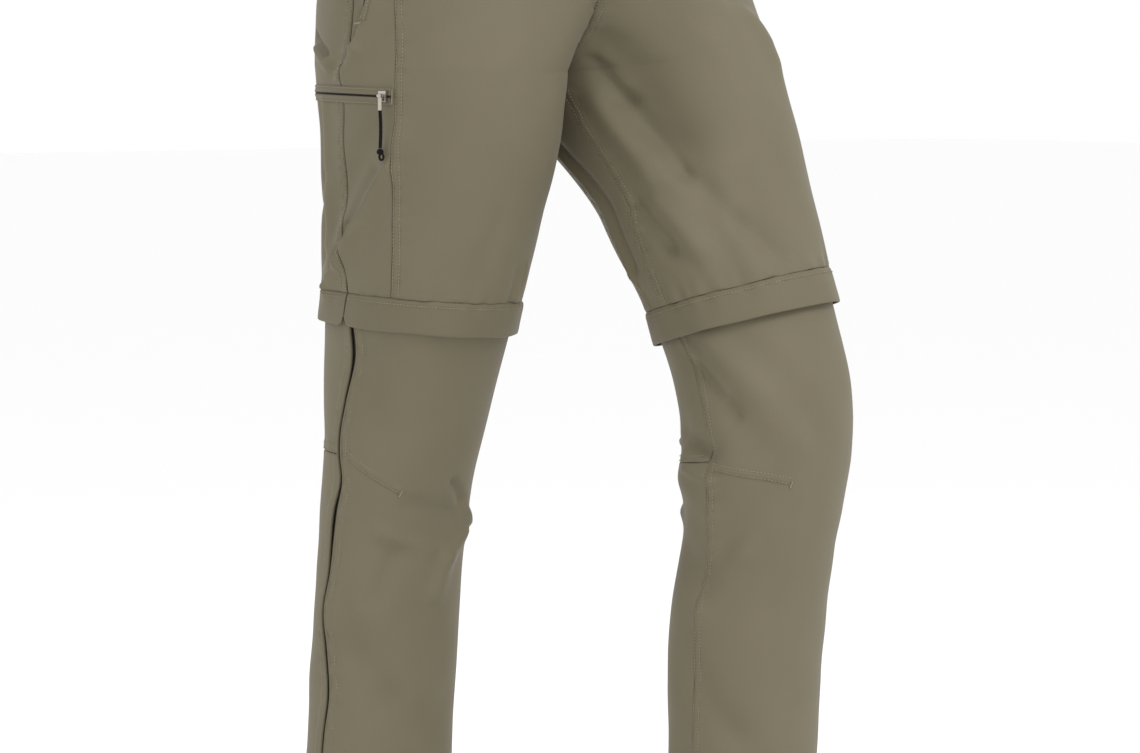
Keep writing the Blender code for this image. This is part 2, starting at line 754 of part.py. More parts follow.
def waistband(materials):
    """The band from the right front round the back, its left end lapped over the front."""
    laps = [(RIGHT, math.radians(a), 0.0) for a in np.linspace(0.1, 180, 25)]
    laps += [(LEFT, math.radians(a), 0.0) for a in np.linspace(172.5, 7.5, 23)]
    laps += [(LEFT, math.radians(3.5), 1.4), (LEFT, 0.0, 2.7)]
    laps += [(RIGHT, math.radians(a), 2.7) for a in (4, 8.5, 13)]
    heights = np.array([BAND_TOP, 0.0, BAND_BOTTOM])
    outer, inner = [], []
    for z in heights:
        outer.append([cloth(side, u, z, 0.4 + lift) for side, u, lift in laps])
        inner.append([cloth(side, u, z, 0.4 + lift - BAND_WALL) for side, u, lift in laps])
    slab("waistband", np.array(outer), np.array(inner), materials["nylon_trim"])
    place = frame_at(cloth(RIGHT, math.radians(8.5), 0.0, 3.5), facing(RIGHT, math.radians(8.5), 0.0))
    point, level, outward, up = place
    lying = (point, level, -up, outward)
    profile = [(0, 0), (7.2, 0), (8.2, 0.9), (8.2, 2.2), (7.0, 3.0), (5.6, 2.2), (0, 2.2)]
    turned_solid("waist_button", profile, 20, lying, materials["horn_button"])
    loops = [
        # side, angle
        (RIGHT, 32),
        (RIGHT, 94),
        (RIGHT, 152),
        (LEFT, 32),
        (LEFT, 94),
        (LEFT, 152),
    ]
    stand = [(17, 0.85), (13.5, 2.4), (0, 4.2), (-13.5, 2.4), (-17, 0.85)]
    for number, (side, angle) in enumerate(loops, start=1):
        edges = [turned(side, math.radians(angle), 0.0, shift) for shift in (-5, 5)]
        outer = np.array([[cloth(side, u, z, lift + 1.0) for u in edges] for z, lift in stand])
        inner = np.array([[cloth(side, u, z, lift) for u in edges] for z, lift in stand])
        slab(f"belt_loop_{number}", outer, inner, materials["nylon_trim"])


def fly_shield(materials):
    """The underlap behind the fly opening."""
    heights = [-24.0, -45.0, -75.0, -105.0, -135.0, -150.0]
    spots = [(LEFT, 8), (LEFT, 3), (None, 0), (RIGHT, 5), (RIGHT, 15)]
    grids = []
    for offset in (-2.6, -3.6):
        rows = []
        for z in heights:
            row = []
            for side, angle in spots:
                first = float(inner_edge(np.array(z)))
                if side is None:
                    row.append((cloth(LEFT, first, z, offset) + cloth(RIGHT, first, z, offset)) / 2)
                else:
                    row.append(cloth(side, first + math.radians(angle), z, offset))
            rows.append(row)
        grids.append(np.array(rows))
    slab("fly_shield", grids[0], grids[1], materials["woven_nylon"])


def zip_pull(key, point, normal, stand, tab_length, materials):
    """A zip slider fast on its zip, and the pull tab curled round its bridge. Returns the hinge."""
    place = frame_at(point, normal)
    _, level, outward, up = place
    metal = materials["pull_metal"]
    profile = [(0, -5), (0, 4.2), (0.8, 5), (2.4, 4.2), (2.4, -4.4), (1.6, -5)]
    profile = [(stand + out, height) for out, height in profile]
    body = extruded("slider_" + key, profile, -3.8, 3.8, place, metal)
    bridge_at = stand + 4.9
    upright = (point, -up, outward, level)
    bridge = extruded(
        "bridge_of_" + key,
        [
            (stand + 1.5, -3.2),
            (bridge_at + 0.6, -3.2),
            (bridge_at + 0.6, 3.2),
            (stand + 1.5, 3.2),
            (stand + 1.5, 2.2),
            (bridge_at - 0.6, 2.2),
            (bridge_at - 0.6, -2.2),
            (stand + 1.5, -2.2),
        ],
        -0.6,
        0.6,
        upright,
        metal,
    )
    bridge.hide_render = True
    bridge.hide_viewport = True
    join = body.modifiers.new("bridge", "BOOLEAN")
    join.operation = "UNION"
    join.solver = "EXACT"
    join.object = bridge
    hinge = point + outward * bridge_at
    level_out = np.cross(level, (0, 0, 1))
    hanging = (hinge, level, level_out, np.array([0.0, 0.0, 1.0]))
    outer_turn = [math.radians(a) for a in np.linspace(-76, 198, 11)]
    inner_turn = [math.radians(a) for a in np.linspace(198, -145, 12)]
    last_turn = [math.radians(a) for a in (-145, -125, -104)]
    outline = [(-0.45, -tab_length), (0.45, -tab_length)]
    outline += [(1.9 * math.cos(a), 1.9 * math.sin(a)) for a in outer_turn]
    outline += [(1.05 * math.cos(a), 1.05 * math.sin(a)) for a in inner_turn]
    outline += [(1.9 * math.cos(a), 1.9 * math.sin(a)) for a in last_turn]
    extruded("pull_tab_" + key, outline, -1.8, 1.8, hanging, metal, origin=hinge)
    return hinge, hanging


def pull_cord(hinge, hanging, material):
    """The doubled braid that hangs from the cargo zip's tab, as a tube with a slight bow."""
    _, level, outward, up = hanging
    line = bpy.data.curves.new("pull_cord", "CURVE")
    line.dimensions = "3D"
    line.bevel_depth = CORD_WIDTH / 2 * 0.001
    line.bevel_resolution = 2
    line.use_fill_caps = True
    line.materials.append(material)
    steps = 6
    spline = line.splines.new("POLY")
    spline.points.add(steps - 1)
    for step in range(steps):
        share = step / (steps - 1)
        bow = 0.7 * math.sin(math.pi * share)
        spot = level * bow + up * (CORD_TOP + (CORD_END - CORD_TOP) * share)
        spline.points[step].co = (*(spot * 0.001), 1)
    obj = bpy.data.objects.new("pull_cord", line)
    obj.location = [value * 0.001 for value in hinge]
    bpy.context.scene.collection.objects.link(obj)


def pulls(upper, lower, materials):
    """All zip sliders with their tabs, and the braided cord on the cargo zip's tab."""
    hinges = {}
    for side, word in ((RIGHT, "right"), (LEFT, "left")):
        z = -66.0
        u = math.radians(across_table(POCKET_SLIT, 1, z))
        point = on(upper[word]["side_front"], share_of(upper[word]["side_front"], u, z), z, 0.0)
        hinges["hand_" + word] = zip_pull("hand_" + word, point, facing(side, u, z), 2.5, 16, materials)
        z = -1020.0
        u = np.radians(across_table(LEG_ZIP, 1, z))
        point = (on(lower[word]["shin"], 1, z, 0.0) + on(lower[word]["calf"], 0, z, 0.0)) / 2
        hinges["leg_" + word] = zip_pull("leg_" + word, point, facing(side, u, z), 2.2, 16, materials)
    piece = upper["right"]["side_front"]
    z = -259.0
    point = on(piece, 0.16, z, 0.0)
    normal = facing(RIGHT, piece["start"][11], z)
    hinges["cargo"] = zip_pull("cargo", point, normal, 3.1, 12, materials)
    hinge, hanging = hinges["cargo"]
    pull_cord(hinge, hanging, materials["braided_cord"])
    knot = [(0, -44.0), (1.4, -44.0), (2.7, -45.0), (3.1, -46.6), (2.6, -48.3)]
    knot += [(1.3, -49.2), (1.3, -54.5), (0, -54.5)]
    turned_solid("cord_knot", knot[::-1], 10, hanging, materials["braided_cord"], origin=hinge)
    return hinges


def main():
    for obj in list(bpy.data.objects):
        bpy.data.objects.remove(obj, do_unlink=True)
    materials = make_materials()
    upper, lower = {}, {}
    for side, word in ((RIGHT, "right"), (LEFT, "left")):
        upper[word] = upper_leg(side, word, materials)
        lower[word] = lower_leg(side, word, materials)
        thigh_band(side, word, upper[word], lower[word], materials)
        leg_zip(side, word, lower[word], materials)
        hand_pocket(word, upper[word], materials)
    cargo_pocket(upper["right"], materials)
    waistband(materials)
    fly_shield(materials)
    hinges = pulls(upper, lower, materials)
    for key, (hinge, hanging) in hinges.items():
        print("hinge", key, np.round(hinge, 3).tolist(), "axis", np.round(hanging[1], 5).tolist())


main()
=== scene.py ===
# %% [markdown]
# Zip-off walking trousers, worn and striding
#
# The real garment is a hollow shell of thin woven nylon. Its shape comes from
# its cut: two halves that meet at the rise, a gusset at the inner thigh, a
# zip-off lower leg under a flap, and a long zip up the outside of the shin.
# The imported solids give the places. This script dresses them: each cut piece
# becomes a fine sheet on the same form, with its folds, seams and stitches.

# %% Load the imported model
import json
import math

import bmesh
import bpy
import numpy as np
from mathutils import Matrix, Vector


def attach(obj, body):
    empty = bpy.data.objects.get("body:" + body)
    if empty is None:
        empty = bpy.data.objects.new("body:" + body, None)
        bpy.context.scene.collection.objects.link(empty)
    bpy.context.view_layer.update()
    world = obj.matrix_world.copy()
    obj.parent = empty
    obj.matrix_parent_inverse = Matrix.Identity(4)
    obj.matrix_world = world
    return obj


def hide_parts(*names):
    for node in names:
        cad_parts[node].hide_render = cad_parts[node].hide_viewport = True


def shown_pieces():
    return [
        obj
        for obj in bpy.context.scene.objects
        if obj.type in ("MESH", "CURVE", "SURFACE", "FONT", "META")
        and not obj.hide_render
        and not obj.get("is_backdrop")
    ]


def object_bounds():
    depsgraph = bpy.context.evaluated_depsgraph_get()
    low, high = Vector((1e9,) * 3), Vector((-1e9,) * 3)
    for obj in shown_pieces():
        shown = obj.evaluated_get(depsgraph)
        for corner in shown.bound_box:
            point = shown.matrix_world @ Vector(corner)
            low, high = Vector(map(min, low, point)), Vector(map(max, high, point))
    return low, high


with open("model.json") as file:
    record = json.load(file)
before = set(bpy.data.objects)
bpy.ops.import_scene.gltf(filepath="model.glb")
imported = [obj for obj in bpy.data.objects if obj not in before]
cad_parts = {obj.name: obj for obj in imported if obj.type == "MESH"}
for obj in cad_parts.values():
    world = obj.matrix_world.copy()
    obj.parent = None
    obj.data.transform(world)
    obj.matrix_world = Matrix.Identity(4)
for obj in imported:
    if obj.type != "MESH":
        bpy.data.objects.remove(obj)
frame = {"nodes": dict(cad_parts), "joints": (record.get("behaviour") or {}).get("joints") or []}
cad_low, cad_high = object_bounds()
nodes = frame["nodes"]
MM = 0.001
RIGHT, LEFT = -1, 1
SIDES = ((RIGHT, "right"), (LEFT, "left"))
print("solids:", len(nodes), "box in mm:", [round(v / MM) for v in (cad_high - cad_low)])

# %% [markdown]
# The camera
#
# The photograph was taken from the wearer's front right, a little above the
# knee, with a long lens: both hems stand nearly level. A lens of about 144 mm
# four metres away gives the same perspective. The camera comes first.

# %% The photograph's camera
VIEW_TURN, VIEW_RISE = -40, 4
VIEW_DISTANCE = 4.0
VIEW_TARGET = Vector((0.0335, -0.0281, -0.5032))
SENSOR_WIDTH = 36.0
PHOTO_WIDTH, MM_PER_PIXEL = 1140, 0.875


def look_in(obj, turn, rise, distance):
    """Places a camera or light round the garment (turn 0 is in front), looking at its middle."""
    turn, rise = math.radians(turn), math.radians(rise)
    way = Vector((math.sin(turn) * math.cos(rise), -math.cos(turn) * math.cos(rise), math.sin(rise)))
    obj.location = VIEW_TARGET + way * distance
    obj.rotation_mode = "QUATERNION"
    obj.rotation_quaternion = (-way).to_track_quat("-Z", "Y")
    bpy.context.scene.collection.objects.link(obj)


camera_data = bpy.data.cameras.new("camera")
camera_data.sensor_width = SENSOR_WIDTH
camera_data.lens = SENSOR_WIDTH * VIEW_DISTANCE / (PHOTO_WIDTH * MM_PER_PIXEL * MM)
camera_data.clip_end = 50
camera = bpy.data.objects.new("camera", camera_data)
look_in(camera, VIEW_TURN, VIEW_RISE, VIEW_DISTANCE)
bpy.context.scene.camera = camera
print("lens in mm:", round(camera_data.lens, 1))

# %% [markdown]
# The form that every piece lies on
#
# A tailor's pattern is flat, but a worn leg is a tube. Each half is told by an
# angle u round the leg (0 in front, 90 degrees outside) and a height z. First
# comes the standing tube, then the stride moves and tilts its rings. The
# tables are in millimetres and say the same as those of the solids.

# %% Sizes and tables of the form
CROTCH, THIGH_END = -235.0, -428.0
# The flap hangs over the top of the zip-off leg, which starts 12 mm higher.
FLAP_TOP, FLAP_END, LOWER_TOP = -428.8, -456.0, -444.0
KNEE_SEAM, HEM = -567.0, -1045.0
CLOTH_WALL, FLAP_WALL, BAND_WALL = 1.2, 1.5, 2.2
SEAM_GAP = 0.3
# From SPLIT_TOP down, the two halves draw apart. SQUARENESS 2 is a true ellipse.
SPLIT_TOP, SPLIT_POWER, SQUARENESS = -60.0, 1.7, 2.25

SECTIONS = [
    # height, reach, inner, front, back, centre_aft
    (20, 158, 80, 112, 122, 0),
    (-20, 165, 82, 117, 128, 0),
    (-80, 175, 86, 122, 137, 0),
    (-150, 178, 92, 118, 134, -1),
    (-200, 181, 96, 112, 129, -2),
    (-235, 185, 97, 108, 122, -3),
    (-290, 187, 95, 103, 110, -4),
    (-360, 184, 90, 94, 97, -2),
    (-430, 180, 84, 85, 87, 0),
    (-500, 174, 74, 74, 78, 2),
    (-570, 168, 66, 66, 70, 2),
    (-640, 163, 60, 60, 64, 2),
    (-740, 162, 58, 58, 63, 2),
    (-860, 164, 60, 60, 64, 2),
    (-960, 167, 63, 63, 66, 2),
    (-1045, 170, 66, 66, 67, 0),
]
RIGHT_STRIDE = [
    # height, forward, out, nod, lean, slim, lift
    (20, 0, 0, 0.00, 0.00, 1.000, 0),
    (-60, 0, 0, 0.00, 0.00, 1.000, 0),
    (-110, -1, 0, 0.00, 0.00, 1.000, 0),
    (-174, 0, 0, 0.00, 0.02, 1.000, 0),
    (-235, 5, 0, -0.02, 0.03, 1.000, 0),
    (-305, 4, 0, -0.04, 0.04, 1.005, 0),
    (-349, -3, 0, -0.05, 0.04, 1.000, 0),
    (-436, -16, 0, -0.06, 0.04, 0.993, 0),
    (-524, -33, 0, -0.06, 0.03, 0.948, 0),
    (-567, -42, 0, -0.05, 0.02, 0.930, 0),
    (-611, -53, 0, -0.04, 0.01, 0.934, 0),
    (-699, -66, 0, -0.03, 0.00, 0.955, 0),
    (-830, -75, 0, -0.03, 0.00, 0.960, 0),
    (-1045, -92, 0, -0.03, 0.00, 0.950, 0),
]
LEFT_STRIDE = [
    # height, forward, out, nod, lean, slim, lift
    (20, 0, 0, 0.00, 0.00, 1.000, 0),
    (-60, 3, 0, 0.02, 0.02, 1.000, 0),
    (-110, 15, 0, 0.06, 0.05, 1.000, 0),
    (-174, 40, 2, 0.12, 0.10, 0.990, 1),
    (-235, 70, 3, 0.18, 0.12, 0.960, 2),
    (-305, 109, 3, 0.22, 0.12, 0.915, 3),
    (-349, 128, 3, 0.24, 0.12, 0.920, 4),
    (-436, 176, 3, 0.24, 0.12, 0.900, 4),
    (-524, 212, 3, 0.16, 0.08, 0.970, 4),
    (-567, 212, 3, 0.08, 0.04, 1.030, 4),
    (-611, 211, 3, 0.00, 0.00, 1.000, 4),
    (-699, 199, 0, -0.04, 0.00, 1.010, 4),
    (-830, 190, 0, -0.04, 0.00, 0.965, 4),
    (-1045, 178, 0, -0.04, 0.00, 0.970, 4),
]
RISE_STRIDE = [(20, 0), (-60, 0), (-110, 0), (-174, 6), (-235, 14), (-305, 20), (-1045, 20)]


def curve(table, column, z):
    """Value of a table's column at the heights z, smooth through its rows."""
    rows = np.array(table, float)[::-1]
    heights, values = rows[:, 0], rows[:, column]
    slopes = np.gradient(values, heights)
    z = np.clip(z, heights[0], heights[-1])
    i = np.clip(np.searchsorted(heights, z) - 1, 0, len(heights) - 2)
    span = heights[i + 1] - heights[i]
    t = (z - heights[i]) / span
    start = (2 * t**3 - 3 * t**2 + 1) * values[i] + (t**3 - 2 * t**2 + t) * span * slopes[i]
    end = (3 * t**2 - 2 * t**3) * values[i + 1] + (t**3 - t**2) * span * slopes[i + 1]
    return start + end


def ease(x):
    """Smooth step from 0 to 1."""
    x = np.clip(x, 0, 1)
    return x * x * (3 - 2 * x)


def centre(z):
    """Distance of a leg's centre line from the middle plane."""
    down = np.clip((SPLIT_TOP - z) / (SPLIT_TOP - CROTCH), 0, 1)
    joined = 0.5 * down**SPLIT_POWER + 0.5 * ease(down) ** 1.15
    below = np.maximum(CROTCH - z, 0)
    return curve(SECTIONS, 2, z) * joined + 28 * ease(below / 420) + 2 * ease(below / 40)


def straight(u, z):
    """Sideways and fore-aft place of the standing tube."""
    middle = centre(z)
    s, c = np.sin(u), np.cos(u)
    width = np.where(s > 0, curve(SECTIONS, 1, z) - middle, curve(SECTIONS, 2, z))
    depth = np.where(c > 0, curve(SECTIONS, 3, z), curve(SECTIONS, 4, z))
    round_off = (np.abs(s) ** SQUARENESS + np.abs(c) ** SQUARENESS) ** (-1 / SQUARENESS)
    return middle + width * s * round_off, curve(SECTIONS, 5, z) - depth * c * round_off


def form(side, u, z):
    """Outer face of the cloth in the stride, before its folds, in millimetres."""
    stride = RIGHT_STRIDE if side == RIGHT else LEFT_STRIDE
    forward, out, nod, lean, slim, lift = (curve(stride, k, z) for k in range(1, 7))
    rise = curve(RISE_STRIDE, 1, z)
    across, aft = straight(u, z)
    own = ease(across / 80)
    own = own + (1 - own) * ease((CROTCH - z) / 115)
    across = across + (slim - 1) * own * (across - centre(z))
    aft = aft * (1 + (slim - 1) * own)
    up = z + own * (lean * (across - centre(z)) - nod * aft + lift)
    aft = aft - rise - (forward - rise) * own
    return np.stack([side * (across + out * own), aft, up], axis=-1)


def facing(side, u, z):
    """Outward direction of the smooth form."""
    along = form(side, u + 1e-3, z) - form(side, u - 1e-3, z)
    upward = form(side, u, z + 0.5) - form(side, u, z - 0.5)
    out = np.cross(along, upward) * side
    return out / np.linalg.norm(out, axis=-1, keepdims=True)


# %% [markdown]
# Folds
#
# Worn cloth folds where a joint bends or where a seam holds it short. Each
# fold here is one soft ridge or trough along a line. The first table holds the
# main folds, which the solids have too. The second adds the sharper creases
# that one sees in the photograph: their skew makes one flank steep, as where
# cloth tips over itself. Two slow ripples keep the rest from looking machined.

# %% Fold tables
FOLDS = [
    # side, from_angle, from_height, to_angle, to_height, half_width, depth
    (RIGHT, 64, -300, 93, -378, 15, 4.0),
    (RIGHT, 93, -378, 113, -424, 14, 3.0),
    (RIGHT, 76, -285, 106, -372, 16, -4.0),
    (RIGHT, 79, -186, 96, -242, 13, 3.0),
    (RIGHT, 90, -180, 106, -232, 13, -3.0),
    (RIGHT, 66, -728, 30, -779, 17, -5.0),
    (RIGHT, 30, -779, -6, -828, 17, -4.5),
    (RIGHT, 52, -700, 10, -772, 19, 3.0),
    (RIGHT, 36, -645, -16, -628, 16, -2.5),
    (RIGHT, -4, -655, -10, -700, 15, 2.5),
    (RIGHT, 72, -500, 46, -560, 18, -2.5),
    (RIGHT, 20, -900, -30, -960, 18, -3.0),
    (RIGHT, 60, -985, 10, -1020, 17, -3.0),
    (RIGHT, 6, -405, 2, -360, 14, -2.5),
    (RIGHT, 200, -265, 150, -320, 22, -5.0),
    (RIGHT, 205, -300, 160, -365, 20, 3.0),
    (RIGHT, 210, -540, 150, -556, 16, -4.0),
    (RIGHT, 220, -590, 160, -602, 16, -3.5),
    (RIGHT, 150, -720, 200, -790, 18, -3.5),
    (RIGHT, 215, -860, 165, -920, 18, -3.0),
    (LEFT, -43, -215, -45, -300, 15, -4.0),
    (LEFT, -45, -300, -44, -425, 16, -4.5),
    (LEFT, -30, -235, -26, -330, 17, 3.5),
    (LEFT, -62, -270, -60, -400, 15, 3.0),
    (LEFT, -26, -330, -20, -405, 16, -3.0),
    (LEFT, 24, -215, 30, -252, 14, 4.0),
    (LEFT, 20, -190, 44, -214, 14, -3.5),
    (LEFT, -90, -470, -48, -556, 14, -4.5),
    (LEFT, -72, -468, -24, -552, 14, 4.0),
    (LEFT, -50, -470, -8, -540, 15, -3.0),
    (LEFT, 246, -540, 276, -556, 14, -4.5),
    (LEFT, 240, -585, 275, -612, 15, 3.5),
    (LEFT, 250, -652, 280, -676, 14, -3.5),
    (LEFT, -18, -598, -50, -645, 15, 4.0),
    (LEFT, -50, -645, -85, -696, 15, 3.0),
    (LEFT, -34, -590, -66, -640, 14, -3.0),
    (LEFT, -80, -760, -48, -798, 15, -3.5),
    (LEFT, -48, -798, -18, -830, 15, -3.0),
    (LEFT, -60, -930, -10, -975, 17, -3.0),
    (LEFT, 60, -280, 90, -350, 20, -4.0),
    (LEFT, 110, -230, 150, -290, 20, -4.0),
    (LEFT, 220, -560, 150, -585, 16, -5.0),
    (LEFT, 60, -640, 100, -720, 17, -3.5),
    (LEFT, 200, -760, 150, -840, 18, -3.0),
]
CREASES = [
    # side, from_angle, from_height, to_angle, to_height, half_width, depth, skew
    (RIGHT, 79, -176, 90, -219, 6.0, 4.5, 0.5),
    (RIGHT, 90, -219, 102, -242, 5.5, 4.1, 0.5),
    (RIGHT, 88, -190, 97, -230, 5.0, -3.7, 0.0),
    (RIGHT, 129, -208, 115, -224, 4.5, -5.6, 0.0),
    (RIGHT, 126, -220, 112, -236, 5.0, 3.3, 0.0),
    (RIGHT, 67, -318, 84, -369, 6.5, 4.6, 0.55),
    (RIGHT, 84, -369, 99, -402, 6.0, 4.6, 0.55),
    (RIGHT, 99, -402, 113, -426, 5.0, 3.7, 0.5),
    (RIGHT, 74.5, -322, 91, -372, 6.0, -3.4, 0.0),
    (RIGHT, 91, -372, 104, -404, 5.5, -4.1, 0.0),
    (RIGHT, 116, -270, 113, -390, 6.0, 3.3, 0.3),
    (RIGHT, 124, -275, 121, -400, 7.0, -3.3, 0.0),
    (RIGHT, -10, -588, -34, -612, 5.0, -4.6, 0.0),
    (RIGHT, -34, -612, -52, -628, 5.0, 4.6, 0.0),
    (RIGHT, -40, -634, -12, -654, 7.0, 4.5, 0.3),
    (RIGHT, -12, -654, 1, -688, 8.0, 4.0, 0.3),
    (RIGHT, 24, -608, -20, -616, 9.0, -4.0, 0.0),
    (RIGHT, 44, -632, 8, -646, 8.0, 3.4, 0.0),
    (RIGHT, 32, -652, 46, -692, 9.0, -3.7, 0.0),
    (RIGHT, 66, -470, 60, -520, 9.0, -2.5, 0.0),
    (RIGHT, -22, -400, -24, -427, 4.0, -1.8, 0.0),
    (RIGHT, -33, -396, -36, -427, 4.0, 1.8, 0.0),
    (LEFT, -54, -228, -49, -262, 6.0, -4.5, 0.3),
    (LEFT, -49, -262, -50, -330, 8.0, -4.1, 0.2),
    (LEFT, -50, -330, -30, -380, 10.0, -3.3, 0.0),
    (LEFT, -30, -380, -10, -414, 10.0, -3.4, 0.0),
    (LEFT, -84, -344, -74, -384, 8.0, -4.6, 0.3),
    (LEFT, -74, -384, -64, -404, 9.0, -3.3, 0.0),
    (LEFT, -58, -258, -68, -330, 9.0, 3.0, 0.0),
    (LEFT, -70, -350, -56, -392, 9.0, 3.3, 0.0),
    (LEFT, -112, -300, -116, -400, 5.0, 3.3, 0.4),
    (LEFT, -106, -280, -110, -390, 6.0, -3.7, 0.0),
    (LEFT, -90, -466, -70, -508, 6.0, 3.7, 0.3),
    (LEFT, -88, -480, -62, -528, 6.0, -3.7, 0.3),
    (LEFT, 256, -548, 278, -560, 6.0, -4.1, 0.0),
    (LEFT, 250, -572, 276, -584, 6.0, 3.3, 0.0),
    (RIGHT, 160, -548, 214, -540, 6.0, -3.7, 0.0),
    (RIGHT, 166, -586, 214, -592, 6.0, 3.0, 0.0),
    (RIGHT, 214, -250, 176, -292, 7.0, -3.7, 0.3),
    (RIGHT, 206, -286, 160, -336, 8.0, 3.3, 0.3),
    (LEFT, 214, -256, 172, -300, 7.0, -3.7, 0.3),
    (LEFT, 200, -292, 150, -350, 8.0, 3.3, 0.3),
    (RIGHT, 150, -470, 205, -500, 8.0, -4.0, 0.3),
    (RIGHT, 168, -492, 222, -520, 8.0, 3.4, 0.3),
    (RIGHT, 140, -516, 196, -532, 7.0, -3.4, 0.3),
    (RIGHT, 150, -610, 204, -640, 8.0, -3.7, 0.3),
    (RIGHT, 176, -640, 226, -676, 9.0, 3.2, 0.3),
    (RIGHT, 120, -330, 158, -395, 9.0, -3.4, 0.3),
    (RIGHT, 128, -150, 172, -196, 11.0, -4.0, 0.2),
    (RIGHT, 150, -190, 196, -226, 9.0, 3.4, 0.3),
    (RIGHT, 196, -118, 178, -176, 11.0, -3.4, 0.2),
    (RIGHT, 200, -820, 150, -880, 13.0, -3.4, 0.2),
    (LEFT, 130, -500, 190, -528, 8.0, -4.5, 0.3),
    (LEFT, 150, -534, 215, -548, 7.0, 4.0, 0.3),
    (LEFT, 128, -566, 200, -572, 7.0, -4.5, 0.3),
    (LEFT, 160, -596, 222, -618, 8.0, 3.7, 0.3),
    (LEFT, 140, -630, 196, -664, 9.0, -3.7, 0.3),
    (LEFT, 120, -345, 160, -405, 9.0, -3.7, 0.3),
    (LEFT, 128, -150, 166, -200, 11.0, -3.7, 0.2),
    (LEFT, 98, -196, 124, -258, 9.0, -3.4, 0.3),
    (LEFT, 72, -330, 96, -410, 9.0, 3.4, 0.3),
    (LEFT, 60, -560, 92, -596, 9.0, -3.4, 0.3),
]


def waves(x, y, seed, count=6):
    """Slow, uneven ripple of about unit height, the same on each run."""
    draw = np.random.default_rng(seed)
    total = 0
    for _ in range(count):
        turn, phase = draw.uniform(0, 2 * math.pi, 2)
        pace = draw.uniform(0.6, 1.5)
        total = total + np.sin(pace * (x * math.cos(turn) + y * math.sin(turn)) + phase)
    return total / math.sqrt(count / 2)


def folds(side, u, z):
    """Height of all folds above the smooth form."""
    total = np.zeros(np.broadcast(u, z).shape)
    radius = (curve(SECTIONS, 2, z) + curve(SECTIONS, 3, z)) / 2
    for row in [fold + (0.0,) for fold in FOLDS] + CREASES:
        leg, from_angle, from_height, to_angle, to_height, half_width, depth, skew = row
        if leg != side:
            continue
        turn = (u - math.radians(from_angle) + math.pi) % (2 * math.pi) - math.pi
        along_u = math.radians(to_angle - from_angle) * radius
        along_z = to_height - from_height
        length = np.hypot(along_u, along_z)
        place = (turn * radius * along_u + (z - from_height) * along_z) / length**2
        off = (turn * radius * along_z - (z - from_height) * along_u) / length
        past = np.maximum(np.maximum(-place, place - 1), 0) * length
        flank = half_width * (1 + skew * np.tanh(off / half_width * 2))
        total = total + depth * np.exp(-((off / flank) ** 2) - (past / half_width) ** 2)
    # The ripples read a place in the plane, not an angle, so they meet behind the leg.
    across, ahead = radius * np.sin(u), radius * np.cos(u)
    slow = 0.5 * (waves(across / 26, z / 30, 11 + side) + waves(ahead / 26, z / 30, 14 + side))
    fine = 0.15 * (waves(across / 7, z / 9, 17 + side) + waves(ahead / 7, z / 9, 20 + side))
    return total + slow + fine


def cloth(side, u, z, out=0.0):
    """Point of the folded cloth, moved out of its outer face."""
    u, z, out = np.broadcast_arrays(*(np.asarray(value, float) for value in (u, z, out)))
    return form(side, u, z) + facing(side, u, z) * (folds(side, u, z) + out)[..., None]


def turned(side, u, z, distance):
    """Angle reached from u by going this far round the leg."""
    per_radian = np.linalg.norm(form(side, u + 1e-3, z) - form(side, u - 1e-3, z), axis=-1) / 2e-3
    return u + distance / per_radian


print("folds:", len(FOLDS), "main,", len(CREASES), "creases")
print("hem of the left leg, front, in mm:", np.round(cloth(LEFT, 0.0, HEM)))

# %% [markdown]
# Materials
#
# The cloth is plain-woven nylon: matt, with a slight sheen where it turns
# away. Its threads are about 0.25 mm apart, too fine for this picture, so they
# are drawn three times as coarse. The pattern follows each piece's own map,
# which is laid out in real metres, so threads run the way the piece was cut.

# %% Helpers for materials
CLOTH_MAP = "cloth_way"
THREAD_SPACING = 0.8 * MM


def linear(hex_colour):
    """An sRGB hex colour as the linear colour that a shader takes."""
    parts = [int(hex_colour[i : i + 2], 16) / 255 for i in (1, 3, 5)]
    return tuple(p / 12.92 if p <= 0.04045 else ((p + 0.055) / 1.055) ** 2.4 for p in parts) + (1.0,)


def node(tree, kind, inputs=None, **settings):
    """Adds one node: settings are its own fields, inputs are values or sockets to link."""
    made = tree.nodes.new(kind)
    for key, value in settings.items():
        setattr(made, key, value)
    for key, value in (inputs or {}).items():
        if isinstance(value, bpy.types.NodeSocket):
            tree.links.new(value, made.inputs[key])
        else:
            made.inputs[key].default_value = value
    return made


def new_material(name, **sockets):
    """A Principled material. Underscores in a socket's name stand for its spaces."""
    material = bpy.data.materials.new(name)
    material.use_nodes = True
    shader = material.node_tree.nodes["Principled BSDF"]
    for key, value in sockets.items():
        shader.inputs[key.replace("_", " ")].default_value = value
    return material, material.node_tree, shader


